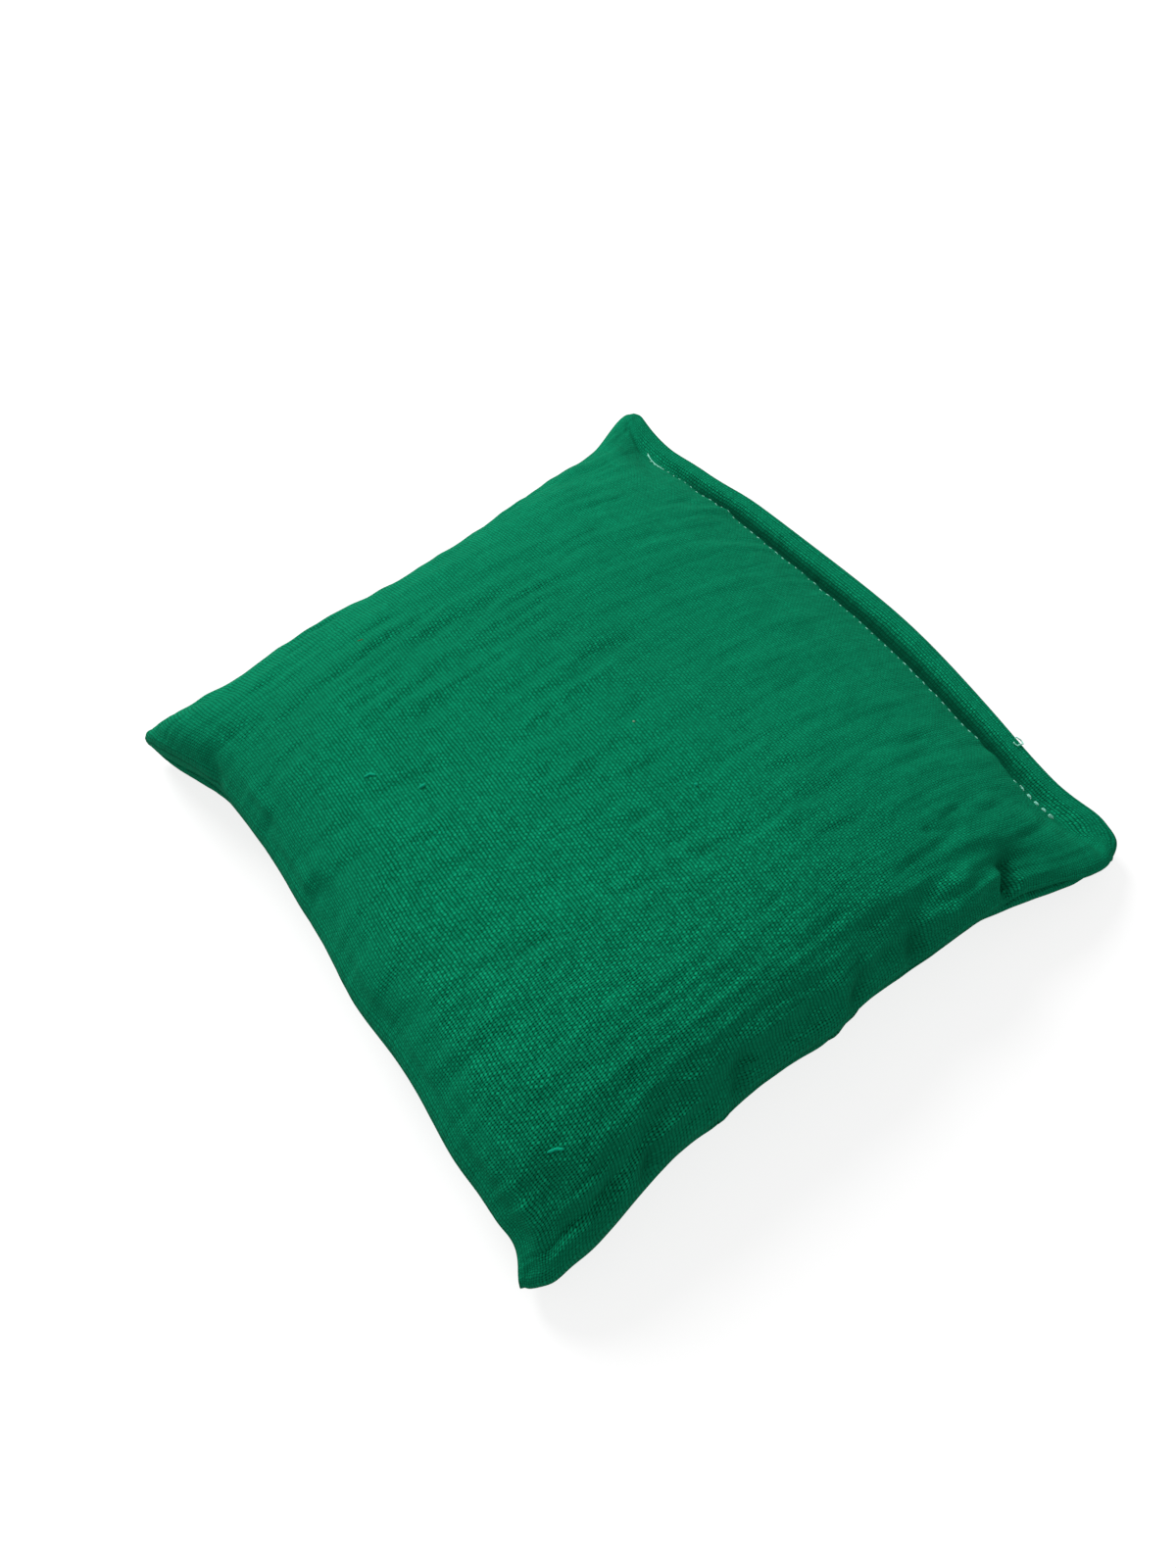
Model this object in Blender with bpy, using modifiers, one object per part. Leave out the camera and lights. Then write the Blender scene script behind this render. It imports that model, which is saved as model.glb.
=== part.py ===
"""A square toss bean bag of double gauze, lying on its base.

Two squares of cloth are sewn right sides together round three sides and a short way in from both ends
of the fourth. The bag is turned, filled with dry granules, and the fourth side is closed with a row of
lockstitches through both turned-in edges, which leaves a flat flange outside the stitching.

Metres. +Z is up and the base is on Z 0. The closed side is at +X and the plain side behind it at -X.
"""

import math

import bmesh
import bpy
from mathutils import Matrix, Vector

MM = 0.001

# The square that the sides enclose, with the ears left aside
SIDE = 120.0 * MM

# How far each side's middle is drawn in from the square or swells past it, and how far a side leans
BACK_DRAW_IN = 1.3 * MM
BACK_LEAN = 1.2 * MM
FAR_DRAW_IN = 5.3 * MM
FAR_LEAN = 3.0 * MM
NEAR_DRAW_IN = 1.5 * MM
CLOSING_SWELL = 4.8 * MM

# How far each ear was turned out past the square's corner: along Y, and along X where it went that way too
CLOSING_FAR_EAR = 12.5 * MM
CLOSING_NEAR_EAR = 7.1 * MM
CLOSING_NEAR_EAR_FORWARD = 1.5 * MM
BACK_NEAR_EAR = 2.3 * MM
BACK_NEAR_EAR_BACK = 1.2 * MM
BACK_FAR_EAR_BACK = 4.6 * MM
EAR_TIP_RADIUS = 3.6 * MM

# Heights: the seam's level along the sides, the ear tips, and the filled top above the seam
SEAM_HEIGHT = 11.0 * MM
EAR_TIP_HEIGHT = 4.3 * MM
CROWN_RISE = 16.0 * MM
FLANGE_DROOP = 4.0 * MM

# Cloth and thread
CLOTH = 0.6 * MM
THREAD = 0.24 * MM
THREAD_CLEARANCE = 0.3 * MM
FOLD_SLACK = 0.25 * MM
PANEL_GAP = 0.5 * MM
SEAM_ALLOWANCE = 7.0 * MM
CORNER_ALLOWANCE = 2.4 * MM
SEAM_INSET = 1.2 * MM
CORNER_SEAM_INSET = 2.0 * MM

# The closing row: its distance from the folded edge, its stitches, and the seam's stubs at both ends
CLOSING_INSET = 8.0 * MM
FAR_END_MARGIN = 15.8 * MM
NEAR_END_MARGIN = 11.5 * MM
STITCH_LENGTH = 2.1 * MM
STITCH_TO_BODY = 1.3 * MM
LOOP_GAP = 0.06 * MM
HOLE_CLEARANCE = 0.08 * MM
TURNED_IN_EDGE = 11.0 * MM
SEAM_STUB = 20.0 * MM
TAIL_REACH = 2.2 * MM

# The filling
FILLING_GAP = 1.0 * MM

# Shares of the sizes above
CROWN_PLACE_SHARE = 0.38
BELLY_SHARE = 1.35
MITRE_SHARE = 0.5
OUTLINE_STEP_SHARE = 0.002
MERGE_SHARE = 0.01

# Powers of the curves: a higher one keeps the surface level for longer and then turns it down faster
SIDE_FULLNESS = 5.0
CLOSING_FULLNESS = 2.2
FILLING_FULLNESS = 3.0
EAR_SHARPNESS = 4.0
OUTLINE_SHARPNESS = 3
DROOP_SHARPNESS = 1.5

# Levels of the layers above and below the seam's own level
FOLD_GAP = THREAD + 2 * THREAD_CLEARANCE + FOLD_SLACK
ALLOWANCE_LEVEL = PANEL_GAP / 2 + CLOTH / 2
SKIN_LEVEL = ALLOWANCE_LEVEL + CLOTH + FOLD_GAP
FOLD_RADIUS = (SKIN_LEVEL - ALLOWANCE_LEVEL) / 2
SEAM_THREAD_LEVEL = ALLOWANCE_LEVEL + CLOTH / 2 + THREAD_CLEARANCE + THREAD / 2
STITCH_LEVEL = SKIN_LEVEL + CLOTH / 2 + THREAD_CLEARANCE + THREAD / 2

# Places along the depth, from -1 at the back edge to 1 at the folded edge
CROWN_PLACE = 2 * CROWN_PLACE_SHARE - 1
STITCH_PLACE = 1 - 2 * CLOSING_INSET / SIDE
BODY_END = STITCH_PLACE - 2 * STITCH_TO_BODY / SIDE

# Each ear: its side along X and Y, and how far its tip lies out past the square's corner along both
EARS = (
    (1, 1, 0, CLOSING_FAR_EAR),
    (1, -1, CLOSING_NEAR_EAR_FORWARD, CLOSING_NEAR_EAR),
    (-1, -1, BACK_NEAR_EAR_BACK, BACK_NEAR_EAR),
    (-1, 1, BACK_FAR_EAR_BACK, 0),
)

# Halvings and steps that bring a place within the width of a fibre
HALVINGS = 24
INVERSE_STEPS = 14

# Rows of faces over the cloth and the filling
BACK_ROWS = 7
FRONT_ROWS = 7
FLANGE_ROWS = 2
CROSS_ROWS = 16
FILLING_ROWS = 14


def clear_scene():
    for item in list(bpy.data.objects):
        bpy.data.objects.remove(item, do_unlink=True)


def collection(name):
    made = bpy.data.collections.new(name)
    bpy.context.scene.collection.children.link(made)
    return made


def material(name, colour, roughness):
    made = bpy.data.materials.new(name)
    made.use_nodes = True
    shader = made.node_tree.nodes["Principled BSDF"]
    shader.inputs["Base Color"].default_value = (*colour, 1)
    shader.inputs["Roughness"].default_value = roughness
    shader.inputs["Metallic"].default_value = 0
    return made


def add_object(name, data, finish, group):
    made = bpy.data.objects.new(name, data)
    data.materials.append(finish)
    group.objects.link(made)
    return made


def tip_rounding(p, q):
    """Pulls the square's corners in to round ear tips and leaves the sides alone."""
    reach = max(abs(p), abs(q))
    if reach == 0:
        return 1
    corner_pull = EAR_TIP_RADIUS * (1 - 1 / math.sqrt(2)) / (SIDE / 2)
    power = math.log(2) / -math.log(1 - corner_pull)
    return reach / (abs(p) ** power + abs(q) ** power) ** (1 / power)


def plan(p, q):
    """X and Y of the cloth at p along the depth and q across it, both from -1 to 1."""
    rounding = tip_rounding(p, q)
    x = SIDE / 2 * p * rounding
    y = SIDE / 2 * q * rounding
    end_move = CLOSING_SWELL if p > 0 else BACK_DRAW_IN
    flank_move = FAR_DRAW_IN if q > 0 else NEAR_DRAW_IN
    x += end_move * abs(p) ** OUTLINE_SHARPNESS * (1 - q * q)
    y -= flank_move * q**OUTLINE_SHARPNESS * (1 - p * p)
    x += BACK_LEAN * max(0, -p) ** OUTLINE_SHARPNESS * math.sin(math.pi * q)
    y += FAR_LEAN * max(0, q) ** OUTLINE_SHARPNESS * math.sin(math.pi * p)
    for along, across, out_x, out_y in EARS:
        share = (max(0, p * along) * max(0, q * across)) ** OUTLINE_SHARPNESS
        x += along * out_x * share
        y += across * out_y * share
    return x, y


def place_where(position, target):
    """The place from -1 to 1 at which a position that grows with it comes to the target."""
    low, high = -1, 1
    for _ in range(HALVINGS):
        middle = (low + high) / 2
        if position(middle) < target:
            low = middle
        else:
            high = middle
    return (low + high) / 2


def along_at(x, q):
    return place_where(lambda p: plan(p, q)[0], x)


def across_at(p, y):
    return place_where(lambda q: plan(p, q)[1], y)


def place_at(spot, p, q):
    """The place that lies at this X and Y, found in short steps from a place near it."""
    step = 2 / (SIDE + max(CLOSING_FAR_EAR, CLOSING_NEAR_EAR) * 2 * OUTLINE_SHARPNESS)
    for _ in range(INVERSE_STEPS):
        x, y = plan(p, q)
        p += step * (spot.x - x)
        q += step * (spot.y - y)
    return p, q


def seam_level(p, q):
    """Height of the seam's level: the ears sag towards the floor and the flange droops."""
    ear = (abs(p) * abs(q)) ** EAR_SHARPNESS
    flange = max(0, (p - BODY_END) / (1 - BODY_END))
    droop = FLANGE_DROOP * flange**DROOP_SHARPNESS * (1 - abs(q) ** EAR_SHARPNESS)
    return SEAM_HEIGHT - (SEAM_HEIGHT - EAR_TIP_HEIGHT) * ear - droop


def body_share(p, q):
    """1 over the crown and 0 at the seams: the shape that the filling gives the cloth."""
    if p < CROWN_PLACE:
        along = (CROWN_PLACE - p) / (CROWN_PLACE + 1)
        fullness = SIDE_FULLNESS
    else:
        along = (p - CROWN_PLACE) / (BODY_END - CROWN_PLACE)
        fullness = CLOSING_FULLNESS
    along = min(1, along)
    across = min(1, abs(q))
    return math.sqrt(1 - along**fullness) * math.sqrt(1 - across**SIDE_FULLNESS)


def skin_height(p, q, side):
    """Height of the cloth's middle: side is 1 for the top panel and -1 for the bottom one."""
    level = seam_level(p, q)
    if side > 0:
        return level + SKIN_LEVEL + CROWN_RISE * body_share(p, q)
    belly = level - SKIN_LEVEL - BELLY_SHARE * SEAM_HEIGHT * body_share(p, q)
    return max(CLOTH / 2, belly)


def eased(count, rising):
    """Shares from 0 to 1 that crowd together at the end where the surface turns down."""
    if rising:
        return [1 - math.cos(math.pi / 2 * i / count) for i in range(count + 1)]
    return [math.sin(math.pi / 2 * i / count) for i in range(count + 1)]


def depth_places():
    """The rows' places along the depth, with a row on the body's end and on the stitch line."""
    back = [-1 + (CROWN_PLACE + 1) * s for s in eased(BACK_ROWS, True)]
    front = [CROWN_PLACE + (BODY_END - CROWN_PLACE) * s for s in eased(FRONT_ROWS, False)]
    flange = [STITCH_PLACE + (1 - STITCH_PLACE) * i / FLANGE_ROWS for i in range(FLANGE_ROWS + 1)]
    return back[:-1] + front + flange


def cross_places(rows):
    """The rows' places across the bag, crowded towards both flanks."""
    return [math.sin(math.pi / 2 * (2 * i / rows - 1)) for i in range(rows + 1)]


def between_rows(places, place):
    """The two rows that a place lies between, and its share of the way from one to the other."""
    after = next(row for row in places[1:] if row >= place)
    before = places[places.index(after) - 1]
    return before, after, (place - before) / (after - before)


def cloth_level(p, q):
    """The seam's level on the flat faces between the cloth's rows."""
    p_before, p_after, along = between_rows(depth_places(), p)
    q_before, q_after, across = between_rows(cross_places(CROSS_ROWS), q)
    near = seam_level(p_before, q_before) * (1 - along) + seam_level(p_after, q_before) * along
    far = seam_level(p_before, q_after) * (1 - along) + seam_level(p_after, q_after) * along
    return near * (1 - across) + far * across


def perimeter(turn):
    """The place on the square's edge at turn, from 0 to 4: one whole number a corner."""
    side, share = int(turn) % 4, turn % 1
    run = 2 * share - 1
    return [(run, -1), (1, run), (-run, 1), (-1, -run)][side]


def perimeter_turn(p, q):
    """The turn at which perimeter() gives this place on the square's edge."""
    if q == -1 and p < 1:
        return (p + 1) / 2
    if p == 1 and q < 1:
        return 1 + (q + 1) / 2
    if q == 1 and p > -1:
        return 2 + (1 - p) / 2
    return 3 + (1 - q) / 2


def edge_point(turn, inset, level):
    """A point inside the folded edge, or past it where inset is below zero, above or below the seam."""
    p, q = perimeter(turn)
    here = Vector(plan(p, q))
    after = Vector(plan(*perimeter((turn + OUTLINE_STEP_SHARE) % 4)))
    before = Vector(plan(*perimeter((turn - OUTLINE_STEP_SHARE) % 4)))
    along = (after - before).normalized()
    spot = here + Vector((-along.y, along.x)) * inset
    p, q = place_at(spot, p, q)
    seam = cloth_level(max(-1, min(1, p)), max(-1, min(1, q)))
    return Vector((*spot, seam + level))


def opening_ends():
    """Where the seam stops at both ends of the closing side, as places across the bag."""
    near = across_at(1, plan(1, -1)[1] + SEAM_STUB)
    far = across_at(1, plan(1, 1)[1] - SEAM_STUB)
    return near, far


def allowance_width(turn):
    """Width of the turned-in cloth: wide at the opening, narrow where the corners are trimmed."""
    p, q = perimeter(turn)
    clear_of_corner = (1 - min(abs(p), abs(q))) * SIDE / 2
    near, far = opening_ends()
    wide = SEAM_ALLOWANCE
    if p == 1 and near < q < far:
        wide = TURNED_IN_EDGE
    return min(wide, CORNER_ALLOWANCE + clear_of_corner * MITRE_SHARE)


def grid_mesh(p_places, q_places):
    """A flat grid of faces over the square whose rows lie on the given places."""
    cloth = bmesh.new()
    columns, rows = len(p_places) - 1, len(q_places) - 1
    bmesh.ops.create_grid(cloth, x_segments=columns, y_segments=rows, size=1)
    for vert in cloth.verts:
        column = round((vert.co.x + 1) / 2 * columns)
        row = round((vert.co.y + 1) / 2 * rows)
        vert.co = (p_places[column], q_places[row], 0)
    return cloth


def folded_edge(cloth, side):
    """Turns the cloth's edge in: round the fold, then flat along the inside as an allowance."""
    flat = {vert: (vert.co.x, vert.co.y) for vert in cloth.verts}
    stitch_share = CLOSING_INSET / TURNED_IN_EDGE
    rings = (
        (-FOLD_RADIUS, 0, SKIN_LEVEL - FOLD_RADIUS),
        (0, 0, ALLOWANCE_LEVEL),
        (0, stitch_share / 2, ALLOWANCE_LEVEL),
        (0, stitch_share, ALLOWANCE_LEVEL),
        (0, 1, ALLOWANCE_LEVEL),
    )
    place = {vert: perimeter_turn(*flat[vert]) for vert in cloth.verts if max(map(abs, flat[vert])) == 1}
    edges = [edge for edge in cloth.edges if edge.is_boundary]
    for vert in cloth.verts:
        p, q = flat[vert]
        vert.co = (*plan(p, q), skin_height(p, q, side))
    for inset, allowance, level in rings:
        made = bmesh.ops.extrude_edge_only(cloth, edges=edges)["geom"]
        fresh = [item for item in made if isinstance(item, bmesh.types.BMVert)]
        turn_of = {}
        for vert in fresh:
            neighbours = [edge.other_vert(vert) for edge in vert.link_edges]
            turn_of[vert] = next(place[near] for near in neighbours if near in place)
        for vert, turn in turn_of.items():
            vert.co = edge_point(turn, inset + allowance * allowance_width(turn), side * level)
        edges = [item for item in made if isinstance(item, bmesh.types.BMEdge)]
        place = turn_of
    return cloth


def add_panel(name, side, finish, group, cutters):
    """One square of cloth with its edge turned in and its needle holes."""
    cloth = folded_edge(grid_mesh(depth_places(), cross_places(CROSS_ROWS)), side)
    bmesh.ops.recalc_face_normals(cloth, faces=cloth.faces)
    mesh = bpy.data.meshes.new(name)
    cloth.to_mesh(mesh)
    cloth.free()
    panel = add_object(name, mesh, finish, group)
    weave = panel.modifiers.new("cloth", "SOLIDIFY")
    weave.thickness = CLOTH
    weave.offset = 0
    for cutter in cutters:
        holes = panel.modifiers.new("needle_holes", "BOOLEAN")
        holes.operation = "DIFFERENCE"
        holes.object = cutter
    mesh.shade_smooth()
    return panel


def stitch_places():
    """Where the needle goes through along the closing row, as places across the bag."""
    first = plan(1, -1)[1] + NEAR_END_MARGIN
    last = plan(1, 1)[1] - FAR_END_MARGIN
    count = max(2, round((last - first) / STITCH_LENGTH))
    return [across_at(STITCH_PLACE, first + (last - first) * i / count) for i in range(count + 1)]


def hole_spot(q):
    return Vector(plan(STITCH_PLACE, q))


def layer_point(spot, q, x_move, y_move, level):
    """A point beside a needle hole, at a level above or below the seam's own."""
    p = STITCH_PLACE + 2 * x_move / SIDE
    across = q + 2 * y_move / SIDE
    return Vector((spot.x + x_move, spot.y + y_move, cloth_level(p, across) + level))


def add_holes(name, holes, group):
    """Upright square cutters, one body to a needle hole: centre, lowest and highest level."""
    cutter = bmesh.new()
    width = 2 * (THREAD + LOOP_GAP) + THREAD + 2 * HOLE_CLEARANCE
    for centre, low, high in holes:
        size = Matrix.Diagonal((width, width, high - low, 1))
        place = Matrix.Translation((centre.x, centre.y, (low + high) / 2))
        bmesh.ops.create_cube(cutter, size=1, matrix=place @ size)
    mesh = bpy.data.meshes.new(name)
    cutter.to_mesh(mesh)
    cutter.free()
    made = bpy.data.objects.new(name, mesh)
    made.hide_render = True
    made.display_type = "WIRE"
    group.objects.link(made)
    return made


def closing_holes():
    reach = STITCH_LEVEL + CLOTH
    return [
        (hole_spot(q), cloth_level(STITCH_PLACE, q) - reach, cloth_level(STITCH_PLACE, q) + reach)
        for q in stitch_places()
    ]


def add_thread(name, points, finish, group):
    """A thread of one thickness that follows the points."""
    line = bpy.data.curves.new(name, "CURVE")
    line.dimensions = "3D"
    line.bevel_depth = THREAD / 2
    line.bevel_resolution = 0
    line.use_fill_caps = True
    spline = line.splines.new("POLY")
    spline.points.add(len(points) - 1)
    for target, point in zip(spline.points, points):
        target.co = (*point, 1)
    return add_object(name, line, finish, group)


def closing_thread(side):
    """One lockstitch thread. The needle thread, side 1, dips between the layers at each hole, and
    the bobbin thread, side -1, rises there square to it, so that each passes through the other's loop."""
    leg = THREAD + LOOP_GAP
    hook = -side * leg / 2
    points = []
    for q in stitch_places():
        spot = hole_spot(q)
        shifts = [(leg, 0), (-leg, 0)] if side > 0 else [(0, -leg), (0, leg)]
        (x_in, y_in), (x_out, y_out) = shifts
        points += [
            layer_point(spot, q, x_in, y_in, side * STITCH_LEVEL),
            layer_point(spot, q, x_in, y_in, hook),
            layer_point(spot, q, x_out, y_out, hook),
            layer_point(spot, q, x_out, y_out, side * STITCH_LEVEL),
        ]
    return points


def seam_turns():
    """The seam's way round the bag: from the opening's one end, round three sides, to its other.
    It bends at the corners and where the cloth's own rows meet the edge."""
    along = [(p + 1) / 2 for p in depth_places()]
    across = [(q + 1) / 2 for q in cross_places(CROSS_ROWS)]
    rows = [1 + a for a in across] + [3 - a for a in reversed(along)]
    rows += [3 + a for a in across] + [4 + a for a in along] + [5 + a for a in across]
    near, far = opening_ends()
    start, end = 1 + (far + 1) / 2, 5 + (near + 1) / 2
    inner = [turn for turn in rows if start < turn < end and turn % 1]
    return [start] + sorted(inner + [2, 3, 4, 5]) + [end]


def seam_point(turn, level, inset=SEAM_INSET):
    return edge_point(turn % 4, inset, level)


def seam_thread(side):
    """One of the seam's two threads, set further in at the corners than along the sides."""
    return [
        seam_point(turn, side * SEAM_THREAD_LEVEL, SEAM_INSET if turn % 1 else CORNER_SEAM_INSET)
        for turn in seam_turns()
    ]


def tail_points():
    """The needle thread's loose end: down between the panels, out over the edge, and back in a loop."""
    end = seam_turns()[-1]
    aside = THREAD / SIDE
    outside = -(FOLD_RADIUS + CLOTH / 2 + THREAD)
    return [
        seam_point(end, 0),
        seam_point(end, 0, 0),
        seam_point(end, 0, outside),
        seam_point(end, TAIL_REACH / 2, outside - TAIL_REACH / 2),
        seam_point(end - 2 * aside, TAIL_REACH, outside - TAIL_REACH / 4),
        seam_point(end - 4 * aside, TAIL_REACH / 2, outside),
    ]


def tail_hole():
    """The needle hole in the top panel's allowance that the loose end leaves by."""
    spot = seam_point(seam_turns()[-1], 0)
    return spot, spot.z, spot.z + SEAM_THREAD_LEVEL


def add_filling(name, finish, group):
    """The granules as the one body that they settle into, clear of the cloth and the allowances."""
    clear = SEAM_ALLOWANCE + FILLING_GAP
    flank = 1 - 2 * clear / SIDE
    high = BODY_END - 2 * (TURNED_IN_EDGE - CLOSING_INSET) / SIDE
    heap = bmesh.new()
    for side in (1, -1):
        half = grid_mesh(cross_places(FILLING_ROWS), cross_places(FILLING_ROWS))
        for vert in half.verts:
            along, across = vert.co.x, vert.co.y
            low = along_at(plan(-1, flank * across)[0] + clear, flank * across)
            p = low + (high - low) * (along + 1) / 2
            near = across_at(p, plan(p, -1)[1] + clear)
            far = across_at(p, plan(p, 1)[1] - clear)
            q = near + (far - near) * (across + 1) / 2
            full = math.sqrt(1 - abs(along) ** FILLING_FULLNESS)
            full *= math.sqrt(1 - abs(across) ** FILLING_FULLNESS)
            level = seam_level(p, q)
            cloth_face = skin_height(p, q, side) - side * (CLOTH / 2 + FILLING_GAP)
            vert.co = (*plan(p, q), level + (cloth_face - level) * full)
        if side < 0:
            bmesh.ops.reverse_faces(half, faces=half.faces)
        mesh = bpy.data.meshes.new(name)
        half.to_mesh(mesh)
        half.free()
        heap.from_mesh(mesh)
        bpy.data.meshes.remove(mesh)
    bmesh.ops.remove_doubles(heap, verts=heap.verts, dist=THREAD * MERGE_SHARE)
    body = bpy.data.meshes.new(name)
    heap.to_mesh(body)
    heap.free()
    body.shade_smooth()
    return add_object(name, body, finish, group)


def centre_on_base(pieces):
    """Hangs every piece on one empty that puts the bag's box over the origin, with its base on Z 0."""
    graph = bpy.context.evaluated_depsgraph_get()
    spots = [
        vert.co
        for piece in pieces
        for vert in piece.evaluated_get(graph).to_mesh().vertices
    ]
    low = [min(spot[axis] for spot in spots) for axis in range(3)]
    high = [max(spot[axis] for spot in spots) for axis in range(3)]
    anchor = bpy.data.objects.new("bag_place", None)
    bpy.context.scene.collection.objects.link(anchor)
    anchor.location = (-(low[0] + high[0]) / 2, -(low[1] + high[1]) / 2, -low[2])
    for piece in bpy.data.objects:
        if piece is not anchor:
            piece.parent = anchor


def build():
    clear_scene()
    bag = collection("toss_bean_bag")
    guides = collection("cutters")
    gauze = material("green_double_gauze", (0.003, 0.195, 0.094), 0.9)
    cotton = material("white_cotton_thread", (0.62, 0.78, 0.70), 0.7)
    grain = material("dry_granules", (0.55, 0.40, 0.22), 0.6)

    row_holes = add_holes("closing_needle_holes", closing_holes(), guides)
    end_hole = add_holes("tail_needle_hole", [tail_hole()], guides)
    pieces = [
        add_panel("top_panel", 1, gauze, bag, [row_holes, end_hole]),
        add_panel("bottom_panel", -1, gauze, bag, [row_holes]),
        add_thread("seam_needle_thread", seam_thread(1) + tail_points(), cotton, bag),
        add_thread("seam_bobbin_thread", seam_thread(-1), cotton, bag),
        add_thread("closing_needle_thread", closing_thread(1), cotton, bag),
        add_thread("closing_bobbin_thread", closing_thread(-1), cotton, bag),
        add_filling("granule_filling", grain, bag),
    ]
    centre_on_base(pieces)


build()
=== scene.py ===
"""The looks of the toss bean bag: the gauze cover and its stitches, in the order in which it is sewn."""

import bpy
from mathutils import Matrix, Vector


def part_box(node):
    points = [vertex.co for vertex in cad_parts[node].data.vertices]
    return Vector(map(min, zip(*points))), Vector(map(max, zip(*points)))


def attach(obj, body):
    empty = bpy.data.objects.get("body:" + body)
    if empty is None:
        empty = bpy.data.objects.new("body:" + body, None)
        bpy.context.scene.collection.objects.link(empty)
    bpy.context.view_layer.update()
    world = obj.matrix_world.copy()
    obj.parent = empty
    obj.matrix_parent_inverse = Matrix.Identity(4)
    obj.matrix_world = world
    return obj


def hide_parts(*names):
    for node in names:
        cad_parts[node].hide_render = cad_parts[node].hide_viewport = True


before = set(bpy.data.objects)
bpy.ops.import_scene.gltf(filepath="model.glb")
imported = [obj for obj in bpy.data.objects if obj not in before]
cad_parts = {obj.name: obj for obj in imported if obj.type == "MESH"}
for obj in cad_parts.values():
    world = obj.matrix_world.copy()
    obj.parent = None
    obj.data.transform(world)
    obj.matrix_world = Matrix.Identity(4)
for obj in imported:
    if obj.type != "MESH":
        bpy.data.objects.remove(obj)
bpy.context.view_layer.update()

import math

import bmesh
import bpy
import numpy as np
from mathutils import Matrix, Vector, noise
from mathutils.kdtree import KDTree

# The sewn outline. Two squares of double gauze are seamed right sides together and turned, so each corner
# ends in a small flat ear. Every ear of this bag is turned out to its own length and droops by itself, and
# the closed side carries a flange outside its topstitching.
MM = 0.001
panel_low, panel_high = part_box("top_panel")
HALF_SHARE = 0.459
HALF_SIDE = (panel_high.x - panel_low.x) * HALF_SHARE
OUTLINE_SHARPNESS = 3
CLOSED_SIDE_SWELL = 4.8 * MM
PLAIN_SIDE_DRAW_IN = 1.3 * MM
FAR_SIDE_DRAW_IN = 5.3 * MM
NEAR_SIDE_DRAW_IN = 1.5 * MM
PLAIN_SIDE_SKEW = 1.2 * MM
FAR_SIDE_SKEW = 3.0 * MM
SEAM_HEIGHT = 11.0 * MM
EAR_SHARPNESS = 4
LEAST_ROUNDING = 0.5 * MM
NEARLY_ZERO = 1e-9
EARS = {
    "closed_far": {"at": (1, 1), "move": (1.2 * MM, 16.4 * MM), "droop": 6.7 * MM, "round": 8.1 * MM},
    "plain_far": {"at": (-1, 1), "move": (-6.6 * MM, 2.5 * MM), "droop": 6.9 * MM, "round": 6.8 * MM},
    "closed_near": {"at": (1, -1), "move": (0.6 * MM, -8.6 * MM), "droop": 6.8 * MM, "round": 10.4 * MM},
    "plain_near": {"at": (-1, -1), "move": (-3.4 * MM, -4.3 * MM), "droop": 7.0 * MM, "round": 1.8 * MM},
}
# Where each side wanders: its place and reach along the side, as shares of half of it, and how far out
# it goes there
SIDE_WAVES = {
    "plain": (
        (-1.0, 0.05, 0.7 * MM), (-0.91, 0.065, -2.0 * MM), (-0.79, 0.08, -1.0 * MM),
        (-0.44, 0.13, -0.5 * MM), (-0.17, 0.15, 1.0 * MM), (0.14, 0.12, 0.5 * MM),
        (0.64, 0.14, -0.9 * MM), (0.84, 0.07, 0.3 * MM),
    ),
    "closed": (
        (-1.0, 0.018, -1.3 * MM), (-1.0, 0.04, 1.3 * MM), (-0.96, 0.035, 1.3 * MM),
        (-0.91, 0.09, 3.4 * MM), (-0.66, 0.10, -0.2 * MM), (-0.12, 0.32, 1.4 * MM),
        (0.67, 0.08, -1.2 * MM), (0.81, 0.08, -1.9 * MM), (1.0, 0.06, 3.3 * MM),
        (1.0, 0.02, -1.5 * MM),
    ),
    "near": (
        (-1.0, 0.018, -2.2 * MM), (-1.0, 0.045, -2.0 * MM), (-0.965, 0.03, -1.5 * MM),
        (-0.90, 0.05, -1.0 * MM), (-0.79, 0.08, 0.1 * MM), (-0.55, 0.14, -0.6 * MM),
        (-0.42, 0.04, 0.7 * MM), (-0.08, 0.12, 0.9 * MM), (-0.045, 0.04, 0.8 * MM),
        (0.025, 0.03, 0.5 * MM), (0.30, 0.16, 0.6 * MM), (0.53, 0.03, -0.3 * MM),
        (0.74, 0.13, 1.0 * MM), (1.0, 0.06, -0.6 * MM),
    ),
    "far": (
        (-1.0, 0.06, 0.2 * MM), (-0.89, 0.07, -2.3 * MM), (-0.76, 0.13, -3.6 * MM),
        (-0.4, 0.22, 1.4 * MM), (0.66, 0.12, -1.2 * MM), (0.9, 0.09, 0.6 * MM), (1.0, 0.02, -0.4 * MM),
    ),
}
FLANGE = 8.2 * MM
FLANGE_DROP = 4.3 * MM
FLANGE_FALL = 0.30
FAR_EAR_LEVEL = 0.13
FLANGE_SHARPNESS = 6
STITCH_PLACE = 1 - FLANGE / HALF_SIDE


def corner_weight(p, q, at):
    return np.clip(p * at[0], 0, 1) * np.clip(q * at[1], 0, 1)


def smooth_step(x):
    x = np.clip(x, 0, 1)
    return x * x * (3 - 2 * x)


def wander(side, place):
    return sum(move * np.exp(-(((place - at) / reach) ** 2)) for at, reach, move in SIDE_WAVES[side])


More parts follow.
